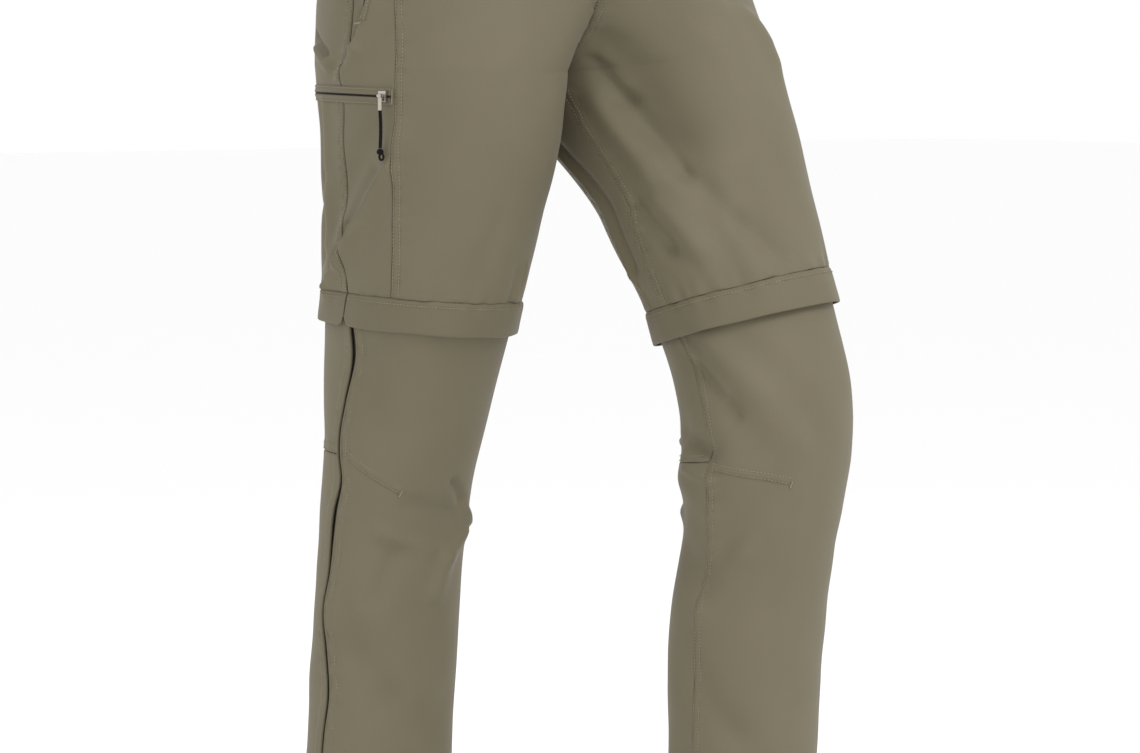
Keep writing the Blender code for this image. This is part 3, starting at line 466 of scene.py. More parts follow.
def woven(name, warp_hex, weft_hex, roughness, sheen, depth):
    """Plain-woven cloth: threads over and under, uneven dye, and a soft grain."""
    material, tree, shader = new_material(
        name, Roughness=roughness, Sheen_Weight=sheen, Sheen_Roughness=0.45, Specular_IOR_Level=0.3
    )
    way = node(tree, "ShaderNodeUVMap", uv_map=CLOTH_MAP)
    per_thread = {0: way.outputs["UV"], 1: (math.pi / THREAD_SPACING,) * 3}
    scaled = node(tree, "ShaderNodeVectorMath", per_thread, operation="MULTIPLY")
    axes = node(tree, "ShaderNodeSeparateXYZ", {0: scaled.outputs[0]})
    warp = node(tree, "ShaderNodeMath", {0: axes.outputs["X"]}, operation="SINE")
    weft = node(tree, "ShaderNodeMath", {0: axes.outputs["Y"]}, operation="SINE")
    crossing = {0: warp.outputs[0], 1: weft.outputs[0]}
    over = node(tree, "ShaderNodeMath", crossing, operation="MULTIPLY")
    halved = {0: over.outputs[0], 1: 0.5, 2: 0.5}
    level = node(tree, "ShaderNodeMath", halved, operation="MULTIPLY_ADD")
    place = node(tree, "ShaderNodeTexCoord").outputs["Object"]
    dye = node(tree, "ShaderNodeTexNoise", {"Vector": place, "Scale": 14.0, "Detail": 3.0})
    grain = node(tree, "ShaderNodeTexNoise", {"Vector": way.outputs["UV"], "Scale": 900.0, "Detail": 2.0})
    colours = {"Factor": level.outputs[0], "A": linear(warp_hex), "B": linear(weft_hex)}
    threads = node(tree, "ShaderNodeMix", colours, data_type="RGBA")
    shades = []
    for noise, spread in ((dye, 0.035), (grain, 0.05)):
        reach = {"From Min": 0.3, "From Max": 0.7, "To Min": 1 - spread, "To Max": 1 + spread}
        shades.append(node(tree, "ShaderNodeMapRange", {"Value": noise.outputs["Fac"], **reach}).outputs[0])
    both = node(tree, "ShaderNodeMath", {0: shades[0], 1: shades[1]}, operation="MULTIPLY")
    shaded = {0: threads.outputs["Result"], "Scale": both.outputs[0]}
    dyed = node(tree, "ShaderNodeVectorMath", shaded, operation="SCALE")
    tree.links.new(dyed.outputs[0], shader.inputs["Base Color"])
    height = node(tree, "ShaderNodeMath", {0: level.outputs[0], 1: grain.outputs["Fac"]}, operation="ADD")
    bump = node(tree, "ShaderNodeBump", {"Height": height.outputs[0], "Strength": 0.35, "Distance": depth})
    tree.links.new(bump.outputs["Normal"], shader.inputs["Normal"])
    return material


# %% [markdown]
# The garment's finishes
#
# All cloth is the same nylon, so one function weaves it: doubled cloth looks a
# little darker, its wrong side darker still, and zip tape is near black. Thread,
# coil, metal, braid and button each start from what the real one is made of.

# %% Cloth, thread, coil, metal, braid and button
NYLON = woven("plain_woven_nylon", "#706954", "#69624f", 0.7, 0.08, 0.00012)
DOUBLED_NYLON = woven("doubled_woven_nylon", "#6d6652", "#665f4c", 0.72, 0.08, 0.00012)
LINING = woven("nylon_wrong_side", "#5c5647", "#555041", 0.78, 0.05, 0.0001)
ZIP_TAPE = woven("zip_tape_woven_polyester", "#2c2721", "#241f1a", 0.75, 0.1, 0.0001)

# Spun polyester thread is a little lighter than the cloth, with a soft shine.
THREAD, tree, shader = new_material("spun_polyester_thread", Base_Color=linear("#8f8671"), Roughness=0.55)
place = node(tree, "ShaderNodeTexCoord").outputs["Object"]
twist = node(tree, "ShaderNodeTexNoise", {"Vector": place, "Scale": 2500.0})
bump = node(tree, "ShaderNodeBump", {"Height": twist.outputs["Fac"], "Strength": 0.3, "Distance": 0.0001})
tree.links.new(bump.outputs["Normal"], shader.inputs["Normal"])

# The coil of a nylon zip: smooth, dark and slightly shiny.
COIL, tree, shader = new_material("nylon_zip_coil", Base_Color=linear("#211d19"), Roughness=0.38)

# Die-cast zinc, satin plated: a metal whose small scratches soften its shine.
ZINC, tree, shader = new_material("satin_plated_zinc", Base_Color=linear("#b5b0a6"), Metallic=1.0)
place = node(tree, "ShaderNodeTexCoord").outputs["Object"]
scratches = node(tree, "ShaderNodeTexNoise", {"Vector": place, "Scale": 900.0, "Detail": 4.0})
satin = {"Value": scratches.outputs["Fac"], "To Min": 0.26, "To Max": 0.44}
rubbed = node(tree, "ShaderNodeMapRange", satin)
tree.links.new(rubbed.outputs[0], shader.inputs["Roughness"])

# Braided polyester cord, near black, matt.
BRAID, tree, shader = new_material("braided_polyester_cord", Roughness=0.9, Specular_IOR_Level=0.2)
place = node(tree, "ShaderNodeTexCoord").outputs["Object"]
strands = node(tree, "ShaderNodeTexNoise", {"Vector": place, "Scale": 1400.0})
blacks = {"Factor": strands.outputs["Fac"], "A": linear("#070606"), "B": linear("#181513")}
shade = node(tree, "ShaderNodeMix", blacks, data_type="RGBA")
tree.links.new(shade.outputs["Result"], shader.inputs["Base Color"])

# A moulded melamine button with a faint horn grain.
MELAMINE, tree, shader = new_material("moulded_melamine", Roughness=0.32)
place = node(tree, "ShaderNodeTexCoord").outputs["Object"]
horn = node(tree, "ShaderNodeTexNoise", {"Vector": place, "Scale": 160.0, "Detail": 3.0, "Distortion": 1.5})
browns = {"Factor": horn.outputs["Fac"], "A": linear("#3b352b"), "B": linear("#5d5648")}
shade = node(tree, "ShaderNodeMix", browns, data_type="RGBA")
tree.links.new(shade.outputs["Result"], shader.inputs["Base Color"])
print("materials:", len(bpy.data.materials))

# %% [markdown]
# From a flat grid to a worn sheet
#
# Cloth is cut flat and then bent, and the mesh is made the same way: Blender
# makes a flat grid, and each of its points moves to its place on the form. The
# grid's own map keeps the cut: how far a point lies from the side edge and
# from the top, in metres. A Solidify modifier gives the cloth its thickness.


# %% The sheet maker
def link(name, mesh, material, stands_for=(), body="trousers"):
    """Puts a finished mesh in the scene, on its body, for the solids it stands for."""
    obj = bpy.data.objects.new(name, mesh)
    bpy.context.scene.collection.objects.link(obj)
    mesh.materials.append(material)
    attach(obj, body)
    if stands_for:
        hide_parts(*stands_for)
    return obj


def sheet_mesh(name, points, flip, ring=False, closed_ends=False):
    """A grid bent to points (rows from the top, columns, 3) in millimetres, with its map."""
    points = points[::-1]
    rows, columns = points.shape[:2]
    bm = bmesh.new()
    bmesh.ops.create_grid(bm, x_segments=columns - 1, y_segments=rows - 1, size=0.5)
    way = bm.loops.layers.uv.new(CLOTH_MAP)
    across = np.zeros((rows, columns))
    across[:, 1:] = np.cumsum(np.linalg.norm(np.diff(points, axis=1), axis=2), axis=1)
    across -= across[:, -1:] / 2
    along = np.zeros(rows)
    along[1:] = np.cumsum(np.linalg.norm(np.diff(points, axis=0), axis=2).mean(axis=1))
    bm.verts.ensure_lookup_table()
    spots = []
    for v in bm.verts:
        spots.append((round((v.co.y + 0.5) * (rows - 1)), round((v.co.x + 0.5) * (columns - 1))))
    for face in bm.faces:
        for loop in face.loops:
            j, i = spots[loop.vert.index]
            loop[way].uv = (across[j, i] * MM, along[j] * MM)
    for v, (j, i) in zip(bm.verts, spots):
        v.co = points[j, i] * MM
    if ring:
        bmesh.ops.remove_doubles(bm, verts=bm.verts, dist=2e-6)
    if closed_ends:
        bmesh.ops.holes_fill(bm, edges=[e for e in bm.edges if e.is_boundary], sides=0)
    if flip:
        bmesh.ops.reverse_faces(bm, faces=bm.faces)
    for face in bm.faces:
        face.smooth = True
    mesh = bpy.data.meshes.new(name)
    bm.to_mesh(mesh)
    bm.free()
    return mesh


def sewn_sheet(name, points, side, wall, material, stands_for=(), ring=False):
    """A sheet with thickness, its points being the cloth's outer face."""
    mesh = sheet_mesh(name, points, side == RIGHT, ring)
    obj = link(name, mesh, material, stands_for)
    mesh.materials.append(LINING)
    wall_mod = obj.modifiers.new("wall", "SOLIDIFY")
    wall_mod.thickness = wall * MM
    wall_mod.offset = -1
    wall_mod.material_offset = 1
    wall_mod.material_offset_rim = 0
    return obj


FINE_STEP = 1.1


def heights_between(top, bottom, step, close=()):
    """Row heights from top to bottom, closer together within reach of the heights listed."""
    found = [top]
    while found[-1] > bottom:
        z = found[-1]
        near = min((abs(z - c) - reach for c, reach in close), default=99)
        found.append(z - (FINE_STEP if near < 0 else min(step, FINE_STEP + near * 0.25)))
    found[-1] = bottom
    return np.array(found)


def shares_for(width, step):
    """Shares of a piece's width, closer together beside its two seams."""
    near = np.array([0, 0.6, 1.3, 2.1, 3.0, 4.0, 5.0, 6.0, 7.0, 8.0, 9.2, 11.0, 13.5])
    if width < 40:
        near = near[near < width * 0.32]
    inner = max(2, round((width - 2 * near[-1]) / step))
    middle = np.linspace(near[-1], width - near[-1], inner + 1)
    return np.concatenate([near[:-1], middle, (width - near[:-1])[::-1]]) / width


print("columns across 100 mm of cloth:", len(shares_for(100.0, 3.0)))

# %% [markdown]
# Seams
#
# Where two pieces join, the seam allowance lies folded under one of them. It
# lifts that side by a thread's width, each stitch row presses the cloth down
# again, and the thread's pull puckers it. All of that is under a millimetre,
# but it is what makes a seam look sewn and not drawn.


# %% Relief of a seam
def seam_relief(distance, along, seam):
    """Lift of the cloth beside a seam, at a distance from it and a place along it.

    A seam is the width of its allowance, how far that lifts the cloth, the
    distances of its stitch rows, the strength of its pucker, and a seed.
    """
    band, lift, stitch_rows, pucker, seed = seam
    total = lift * (1 - ease((distance - band) / 2.5))
    total = total - 0.75 * np.exp(-((distance / 0.8) ** 2))
    for row in stitch_rows:
        total = total - 0.42 * np.exp(-(((distance - row) / 0.8) ** 2))
    pull = waves(along / 2.4, 0 * along, seed) + 0.7 * waves(along / 5.0, 0 * along, seed + 1)
    reach = np.exp(-((np.maximum(distance - band, 0) / 6) ** 2)) * ease(distance / 2)
    return total + pucker * pull * reach


def seam_angle(table, column, z, side, shift=0.0):
    """A seam's angle at the heights z, moved round the leg by shift millimetres."""
    rows = np.array(table, float)[::-1]
    z = np.asarray(z, float)
    return turned(side, np.radians(np.interp(z, rows[:, 0], rows[:, column])), z, shift)


def cut_piece(name, side, z, start, end, step, seams, stands_for, calm=None, lift=None, ends=()):
    """One cut piece of nylon between two seam angles, made as a sheet on the form.

    Seams are the reliefs beside its start and its end. Calm holds edge angles
    for the columns to follow, so that only those next to a true edge bend with
    it at the crotch. Ends are reliefs along the top and bottom edges.
    """
    first, last = (start, end) if calm is None else calm
    across = form(side, np.linspace(start, end, 24).T, z[:, None])
    width = np.linalg.norm(np.diff(across, axis=1), axis=2).sum(axis=1)
    shares = shares_for(float(np.median(width)), step)
    u = first[:, None] + (last - first)[:, None] * shares
    u = u + (start - first)[:, None] * (1 - shares) ** 5 + (end - last)[:, None] * shares**5
    heights = np.repeat(z[:, None], len(shares), axis=1)
    from_start = shares[None, :] * width[:, None]
    from_end = width[:, None] - from_start
    relief = seam_relief(from_start, heights, seams[0]) + seam_relief(from_end, heights, seams[1])
    for edge_height, seam in ends:
        relief = relief + seam_relief(np.abs(heights - edge_height), from_start, seam)
    out = relief if lift is None else relief + lift(u, heights)
    points = cloth(side, u, heights, out)
    obj = sewn_sheet(name, points, side, CLOTH_WALL, NYLON, (stands_for,))


# %% [markdown]
# The shorts part
#
# Each half of the shorts part has a front, a narrow side front that carries
# the pocket zips, a back, and a long gusset at the inner thigh. The front seam
# carries two rows of stitches seven millimetres apart, and the others the same.

# %% Seam lines of the shorts part
SIDE_SEAM = [(0, 92), (-181, 94), (-250, 99), (-305, 99), (-349, 97), (-392, 94), (-428, 90)]
FRONT_SEAM = [(0, 68), (-181, 68), (-220, 66), (-303, 65), (-345, 62), (-387, 59), (-428, 57)]
GUSSET = [
    # height, front_angle, back_angle
    (-235, -90, -90),
    (-250, -74, -106),
    (-270, -75, -112),
    (-295, -81, -119),
    (-322, -88, -123),
    (-350, -93, -124),
    (-378, -96, -122),
    (-405, -98, -120),
    (-428, -100, -118),
]
CALM_EDGES = [
    # height, front_angle, back_angle
    (-20, 0, 180),
    (-75, -2, 182),
    (-105, -5, 185),
    (-135, -12, 192),
    (-160, -21, 201),
    (-182, -31, 211),
    (-202, -41, 221),
    (-218, -48, 229),
    (-235, -56, 236),
    (-250, -62, 239),
    (-270, -69, 241),
    (-295, -78, 240),
    (-322, -87, 237),
    (-350, -93, 236),
    (-378, -96, 238),
    (-428, -100, 242),
]
# allowance, lift, stitch rows, pucker, seed
FELLED = (7.6, 0.5, (1.2, 7.0), 0.30, 21)
UNDER_SIDE = (0.0, 0.0, (), 0.20, 22)
GATHERED = (3.0, 0.3, (2.2,), 0.42, 31)


def inner_edge(z):
    """Angle at which a half meets the middle plane, or the inseam below the crotch."""
    cut = np.clip((centre(z) - SEAM_GAP / 2) / curve(SECTIONS, 2, z), 0, 1)
    cut = np.where(z <= CROTCH, 1.0, cut)
    rest = (1 - cut**SQUARENESS) ** (1 / SQUARENESS)
    return -np.arctan2(cut, rest)


def gathers(side):
    """Short upright puckers where the thigh is gathered into the flap's seam."""

    def lift(u, z):
        round_leg = u * 60
        near = np.exp(-(((z - THIGH_END) / 15) ** 2))
        pull = waves(round_leg / 2.6, z / 40, 51 + side) + 0.6 * waves(round_leg / 6, z / 60, 53 + side)
        # Strongest at the inner thigh, where the striding leg bunches the cloth.
        strong = 0.4 + 0.6 * np.exp(-(((u - math.radians(-72)) / 0.35) ** 2))
        return near * pull * strong

    return lift


gusset_sides = [form(RIGHT, seam_angle(GUSSET, column, -322, RIGHT), -322) for column in (1, 2)]
print("gusset width at -322 in mm:", round(float(np.linalg.norm(gusset_sides[0] - gusset_sides[1]))))

# %% [markdown]
# Cutting the shorts part
#
# All pieces of a leg share the same row heights, so their edges meet point for
# point. The rows lie closer at the crotch and above the flap, where the cloth
# bends most. Near the crotch only the columns next to a true edge follow it.

# %% The shorts part of each leg
half = SEAM_GAP / 2
UPPER_STEP, GUSSET_STEP = 2.8, 2.6
for side, word in SIDES:
    z = heights_between(-20.3, THIGH_END, UPPER_STEP, close=[(THIGH_END, 14), (CROTCH, 10)])
    middle = inner_edge(z)
    below = z < CROTCH
    start = np.where(below, seam_angle(GUSSET, 1, z, side, half), middle)
    end = np.where(below, seam_angle(GUSSET, 2, z, side, -half) + 2 * math.pi, math.pi - middle)
    calm_front = seam_angle(CALM_EDGES, 1, z, side)
    calm_back = seam_angle(CALM_EDGES, 2, z, side)
    front_seam = seam_angle(FRONT_SEAM, 1, z, side)
    side_seam = seam_angle(SIDE_SEAM, 1, z, side)
    front_end = turned(side, front_seam, z, -half)
    side_start, side_end = turned(side, front_seam, z, half), turned(side, side_seam, z, -half)
    back_start = turned(side, side_seam, z, half)
    bottom = [(THIGH_END, GATHERED)]
    pull = gathers(side)
    cut_piece(
        f"front_cloth_{word}", side, z, start, front_end, UPPER_STEP, (FELLED, FELLED),
        f"front_{word}", (calm_front, front_end), pull, bottom,
    )
    cut_piece(
        f"side_front_cloth_{word}", side, z, side_start, side_end, UPPER_STEP,
        (UNDER_SIDE, UNDER_SIDE), f"side_front_{word}", None, pull, bottom,
    )
    cut_piece(
        f"back_cloth_{word}", side, z, back_start, end, UPPER_STEP, (FELLED, UNDER_SIDE),
        f"back_{word}", (back_start, calm_back), pull, bottom,
    )
    low = heights_between(-236.5, THIGH_END, UPPER_STEP, close=[(THIGH_END, 14)])
    gusset_start = seam_angle(GUSSET, 2, low, side, half)
    gusset_end = seam_angle(GUSSET, 1, low, side, -half)
    cut_piece(
        f"gusset_cloth_{word}", side, low, gusset_start, gusset_end, GUSSET_STEP,
        (FELLED, UNDER_SIDE), f"gusset_{word}", None, pull, bottom,
    )

# %% [markdown]
# The zip-off legs
#
# The lower leg has a shin front from the inseam to the long zip, and a back
# that is joined at the knee. A dart shapes the knee from each side. The leg
# lies a little deeper than the thigh, because the flap covers its top.

# %% Seam lines of the lower leg
INSEAM = [(-444, -98), (-500, -93), (-545, -88), (-567, -86), (-590, -87), (-1045, -88)]
LEG_ZIP = [
    # height, angle, gap
    (-444, 88, 3.0),
    (-462, 84, 5.5),
    (-480, 82, 5.0),
    (-500, 84, 3.0),
    (-522, 88, 2.5),
    (-545, 92, 2.5),
    (-567, 92, 2.5),
    (-590, 86, 3.0),
    (-615, 89, 5.0),
    (-640, 90, 4.5),
    (-670, 92, 3.0),
    (-700, 97, 2.5),
    (-735, 91, 3.0),
    (-770, 84, 3.0),
    (-810, 88, 2.5),
    (-850, 89, 2.5),
    (-895, 88, 2.5),
    (-945, 87, 2.5),
    (-995, 88, 2.5),
    (-1045, 88, 3.0),
]
KNEE_DARTS = {
    # side: from_angle, from_height, to_angle, to_height
    RIGHT: (83, -569, 34, -598),
    LEFT: (-82, -574, -22, -589),
}
# allowance, lift, stitch rows, pucker, seed
ZIP_FACING = (8.2, 1.2, (7.2,), 0.26, 61)
HEM_FOLD = (20.0, 0.5, (19.0,), 0.12, 71)
KNEE_JOIN = (6.5, 0.5, (1.3, 6.0), 0.24, 81)


def zip_edge(side, z, sign):
    """Angle of the cloth's edge beside the long zip."""
    gap = curve(LEG_ZIP, 2, z) / 2
    return turned(side, np.radians(curve(LEG_ZIP, 1, z)), z, sign * gap)


def tuck(z):
    """The leg below the thigh zip lies a little deeper, under the flap."""
    return -2.6 * (1 - ease((-452 - z) / 110))


def dart(side):
    """Relief of the knee dart: a pressed line with its allowance above it."""
    from_angle, from_height, to_angle, to_height = KNEE_DARTS[side]

    def lift(u, z):
        radius = curve(SECTIONS, 3, z)
        turn = (u - math.radians(from_angle)) * radius
        along_u = math.radians(to_angle - from_angle) * radius
        along_z = to_height - from_height
        length = np.hypot(along_u, along_z)
        place = (turn * along_u + (z - from_height) * along_z) / length**2
        above = (z - from_height - place * along_z) * np.abs(along_u) / length
        within = ease((place + 0.04) / 0.08) * ease((1.02 - place) / 0.06)
        line = -0.95 * np.exp(-((above / 1.0) ** 2)) - 0.6 * np.exp(-(((above - 6) / 1.0) ** 2))
        raised = 0.7 * ease((above + 0.3) / 0.8) * (1 - ease((above - 6) / 2))
        pull = 0.12 * waves(turn / 3, z / 9, 91 + side) * np.exp(-((above / 8) ** 2))
        return (line + raised + pull) * within + tuck(z)

    return lift


print("tuck under the flap and at mid calf, in mm:", tuck(LOWER_TOP), tuck(-750.0))

# %% [markdown]
# Cutting the zip-off legs
#
# The shin front runs from the inseam round the front to the long zip. Knee back
# and calf back share its side lines. Rows lie closer at the knee's seam and
# dart, and at the hem's fold and stitches, where relief is finest.

# %% The zip-off leg of each side
LOWER_STEP = 3.1
at_hem = [(HEM, 3), (HEM + 19, 2)]


def in_tuck(u, z):
    """The tuck as a lift of a whole piece."""
    return tuck(z)


for side, word in SIDES:
    z = heights_between(LOWER_TOP, HEM, LOWER_STEP, close=[*at_hem, (-583, 20)])
    inseam_edge = seam_angle(INSEAM, 1, z, side, half)
    cut_piece(
        f"shin_cloth_{word}", side, z, inseam_edge, zip_edge(side, z, -1), LOWER_STEP,
        (FELLED, ZIP_FACING), f"shin_front_{word}", None, dart(side), [(HEM, HEM_FOLD)],
    )
    knee = heights_between(LOWER_TOP, KNEE_SEAM + half, LOWER_STEP, close=[(KNEE_SEAM, 9)])
    calf = heights_between(KNEE_SEAM - half, HEM, LOWER_STEP, close=[*at_hem, (KNEE_SEAM, 9)])
    backs = (
        ("knee_back_cloth", "knee_back", knee, [(KNEE_SEAM, KNEE_JOIN)]),
        ("calf_cloth", "calf_back", calf, [(HEM, HEM_FOLD), (KNEE_SEAM, UNDER_SIDE)]),
    )
    for name, solid, z, ends in backs:
        inseam_edge = seam_angle(INSEAM, 1, z, side, -half) + 2 * math.pi
        cut_piece(
            f"{name}_{word}", side, z, zip_edge(side, z, 1), inseam_edge, LOWER_STEP,
            (ZIP_FACING, UNDER_SIDE), f"{solid}_{word}", None, in_tuck, ends,
        )

# %% [markdown]
# The flap over the thigh zip
#
# Where the legs zip off, a doubled strip hangs from the thigh and hides the
# zip. Its two ends meet at the side seam with rounded corners, and its lower
# edge stands off the leg, which gives the dark line that one sees there.

# %% Flaps and thigh zips
FLAP_ROWS = [
    # height, outer offset
    (-427.7, -1.1),
    (-428.3, -0.2),
    (-428.8, 0.45),
    (-429.6, 1.0),
    (-431.5, 1.5),
    (-434.0, 2.0),
    (-437.0, 2.4),
    (-440.5, 2.9),
    (-444.5, 3.3),
    (-448.5, 3.7),
    (-452.0, 4.0),
    (-454.3, 4.1),
    (-455.5, 3.9),
    (FLAP_END, 3.3),
]
FLAP_START, FLAP_FINISH = math.radians(90.2), math.radians(449.1)
CORNER_ROUND, THIGH_RADIUS = 10.0, 88.0
TAPE_ROWS = [
    # height, outer offset
    (-421.0, -3.2),
    (-426.5, -3.2),
    (-435.0, -3.6),
    (-444.6, -4.6),
    (-451.0, -4.6),
]


def flap_points(side):
    """Outer face of a flap, from its seam down to its hanging edge."""
    arc = (FLAP_FINISH - FLAP_START) * THIGH_RADIUS
    near = np.array([0, 0.3, 0.8, 1.5, 2.4, 3.5, 4.8, 6.2, 8.0, 10.0])
    from_start = np.concatenate([near[:-1], np.linspace(10, arc - 10, 230), (arc - near[:-1])[::-1]])
    u = FLAP_START + from_start / THIGH_RADIUS
    from_end = np.minimum(from_start, arc - from_start)
    inside = np.clip(CORNER_ROUND - from_end, 0, CORNER_ROUND)
    corner = CORNER_ROUND - np.sqrt(CORNER_ROUND**2 - inside**2)
    round_leg = u * THIGH_RADIUS
    heights, offsets = [], []
    for height, offset in FLAP_ROWS:
        down = (FLAP_TOP - height) / (FLAP_TOP - FLAP_END)
        ripple = 0.6 * waves(round_leg / 11, 0 * u, 101 + side) * max(down, 0)
        near_seam = np.exp(-(((down - 0.1) / 0.28) ** 2))
        pulls = 0.4 * waves(round_leg / 2.8, 0 * u, 103 + side) * near_seam
        heights.append(height + 0.75 * corner * max(down, 0) ** 3)
        offsets.append(offset + ripple + pulls)
    return cloth(side, u, np.array(heights), np.array(offsets))


for side, word in SIDES:
    points = flap_points(side)
    solid = (f"thigh_flap_{word}",)
    flap = sewn_sheet(f"flap_cloth_{word}", points, side, FLAP_WALL, DOUBLED_NYLON, solid)
    u = np.linspace(0, 2 * math.pi, 121)
    rows, depth = np.array(TAPE_ROWS).T[:, :, None]
    points = cloth(side, u[None, :], rows, depth)
    solid = (f"thigh_zip_{word}",)
    tape = sewn_sheet(f"thigh_zip_tape_{word}", points, side, 1.0, ZIP_TAPE, solid, ring=True)
print("flap length in mm:", round((FLAP_FINISH - FLAP_START) * THIGH_RADIUS))

# %% [markdown]
# Zips
#
# The long leg zip lies in a narrow gap between two edges of cloth, each with a
# thin rolled lip. Behind it sits the dark tape, and on it the coil, whose
# turns are so small that each is a bead of a few faces. The hand pockets and
# the cargo pocket have the same zip between two welts.


# %% Narrow pieces along a line
LOT = 200


def ribbon(name, side, u, z, profile, material, stands_for, wall=0.5):
    """A narrow piece down the leg: its columns are distances round it and offsets out of the cloth."""
    points = [cloth(side, turned(side, u, z, distance), z, out) for distance, out in profile]
    sewn_sheet(name, np.stack(points, axis=1), side, wall, material, stands_for)


def beads(name, spots, outs, radius, stretch, material):
    """Many small beads joined in one mesh: each a stretched icosphere along a direction.

    A bmesh grows slow to add to, so the beads are joined in lots of 200.
    """
    seed = bmesh.new()
    bmesh.ops.create_icosphere(seed, subdivisions=1, radius=1.0)
    shape = bpy.data.meshes.new("bead")
    seed.to_mesh(shape)
    seed.free()
    bm = bmesh.new()
    for start in range(0, len(spots), LOT):
        part = bmesh.new()
        for spot, (along, out) in zip(spots[start : start + LOT], outs[start : start + LOT]):
            along = Vector(along).normalized()
            out = (Vector(out) - along * along.dot(Vector(out))).normalized()
            side_way = along.cross(out)
            turn = Matrix((along * stretch * MM, side_way * radius * MM, out * radius * MM)).transposed()
            done = len(part.verts)
            part.from_mesh(shape)
            part.verts.ensure_lookup_table()
            place = Vector(spot) * MM
            for v in part.verts[done:]:
                v.co = turn @ v.co + place
        chunk = bpy.data.meshes.new("chunk")
        part.to_mesh(chunk)
        part.free()
        bm.from_mesh(chunk)
        bpy.data.meshes.remove(chunk)
    for face in bm.faces:
        face.smooth = True
    mesh = bpy.data.meshes.new(name)
    bm.to_mesh(mesh)
    bm.free()
    bpy.data.meshes.remove(shape)
    link(name, mesh, material)
    print(name, "of", len(spots), "beads")


def spaced(points, pitch, offset=0.5):
    """Points every pitch millimetres along a line, with the direction there."""
    steps = np.linalg.norm(np.diff(points, axis=0), axis=1)
    along = np.concatenate([[0], np.cumsum(steps)])
    count = max(1, int(along[-1] / pitch))
    at = (np.arange(count) + offset) * along[-1] / count

    def point_at(where):
        return np.stack([np.interp(where, along, points[:, k]) for k in range(3)], axis=1)

    ahead = point_at(np.minimum(at + 0.5, along[-1]))
    behind = point_at(np.maximum(at - 0.5, 0))
    return point_at(at), ahead - behind, at / along[-1]


def coil(name, side, u, z, out):
    """A zip's coil along a line of angles and heights, a bead for each turn of its two lanes."""
    line = cloth(side, u, z, out)
    away = facing(side, u, z)
    spots, outs = [], []
    for lane in (-0.9, 0.9):
        places, ways, shares = spaced(line, 1.5, 0.5 if lane < 0 else 0.75)
        for place, way, share in zip(places, ways, shares):
            normal = away[int(share * (len(away) - 1))]
            cross = np.cross(way, normal)
            cross = cross / np.linalg.norm(cross)
            spots.append(place + cross * lane)
            outs.append((cross, normal))
    beads(name, spots, outs, 0.55, 1.1, COIL)


# %% [markdown]
# The long leg zips
#
# Each lip is cloth rolled over the edge of the gap, nearly two millimetres
# high. The tape is sewn behind both edges and wider than the gap, so that
# nothing shows between them but tape and coil.

# %% Lips, tape and coil of the leg zips
# distance from the edge, offset out of the cloth
LIP_PROFILE = [(0.0, -0.6), (0.1, 1.0), (0.6, 1.75), (1.3, 1.9), (2.1, 1.5), (2.7, 0.6), (2.9, -0.3)]
for side, word in SIDES:
    z = heights_between(FLAP_END + 4, HEM, 4.0)
    lift = tuck(z)
    shin_edge, back_edge = zip_edge(side, z, -1), zip_edge(side, z, 1)
    front_lip = [(-d, lift + out) for d, out in LIP_PROFILE[::-1]]
    back_lip = [(d, lift + out) for d, out in LIP_PROFILE]
    tape = [(d, lift - 2.0) for d in np.linspace(-7, 7, 7)]
    ribbon(
        f"zip_lip_front_{word}", side, shin_edge, z, front_lip, DOUBLED_NYLON,
        (f"leg_lip_front_{word}",),
    )
    ribbon(
        f"zip_lip_back_{word}", side, back_edge, z, back_lip, DOUBLED_NYLON,
        (f"leg_lip_back_{word}",),
    )
    middle = (shin_edge + back_edge) / 2
    ribbon(f"zip_tape_{word}", side, middle, z, tape, ZIP_TAPE, (f"leg_zip_{word}",), 0.6)
    line = np.linspace(z[0], z[-1] + 3, 400)
    u_line = (zip_edge(side, line, -1) + zip_edge(side, line, 1)) / 2
    coil(f"zip_coil_{word}", side, u_line, line, tuck(line) - 1.3)

# %% [markdown]
# The hand pockets
#
# Each opens at a slanted zip. The welt in front of it is a wide doubled strip
# that half covers the coil, and the one behind is narrow. Across each, the
# profile rises from a stitched edge to a fold beside the coil.

# %% Zip and welts of the hand pockets
POCKET_SLIT = [(-60, 77), (-90, 78), (-120, 79), (-150, 81), (-179, 84), (-196, 87)]
# distance round the leg, offset out of the cloth
FRONT_WELT = [(-12, -0.3), (-11.6, 0.7), (-10.6, 0.95), (-7, 1.05), (-3, 1.5), (-1.2, 1.7), (-0.7, 0.9)]
BACK_WELT = [(0.7, 0.9), (1.2, 1.6), (3, 1.3), (5.5, 0.7), (6.2, -0.3)]
HAND_TAPE = [(-2.6, 0.2), (-1.3, 0.75), (1.3, 0.75), (2.6, 0.2)]
for side, word in SIDES:
    z = heights_between(-60, -196, 3.0)
    u = np.radians(curve(POCKET_SLIT, 1, z))
    ribbon(f"hand_zip_tape_{word}", side, u, z, HAND_TAPE, ZIP_TAPE, (f"hand_zip_{word}",))
    coil(f"hand_zip_coil_{word}", side, u, z, 1.1)
    solid = (f"hand_welt_{word}",)
    ribbon(f"hand_welt_cloth_{word}", side, u, z, FRONT_WELT, DOUBLED_NYLON, solid)
    ribbon(f"hand_welt_back_{word}", side, u, z, BACK_WELT, DOUBLED_NYLON, ())

# %% [markdown]
# The cargo pocket's zip
#
# It lies level round the outside of the right thigh, between two welts of the
# same kind. Here the profile runs up and down, and the strip runs round.

# %% Zip and welts of the cargo pocket
CARGO_FROM, CARGO_TO = 67.5, 132
CARGO_MIDDLE = -259.2
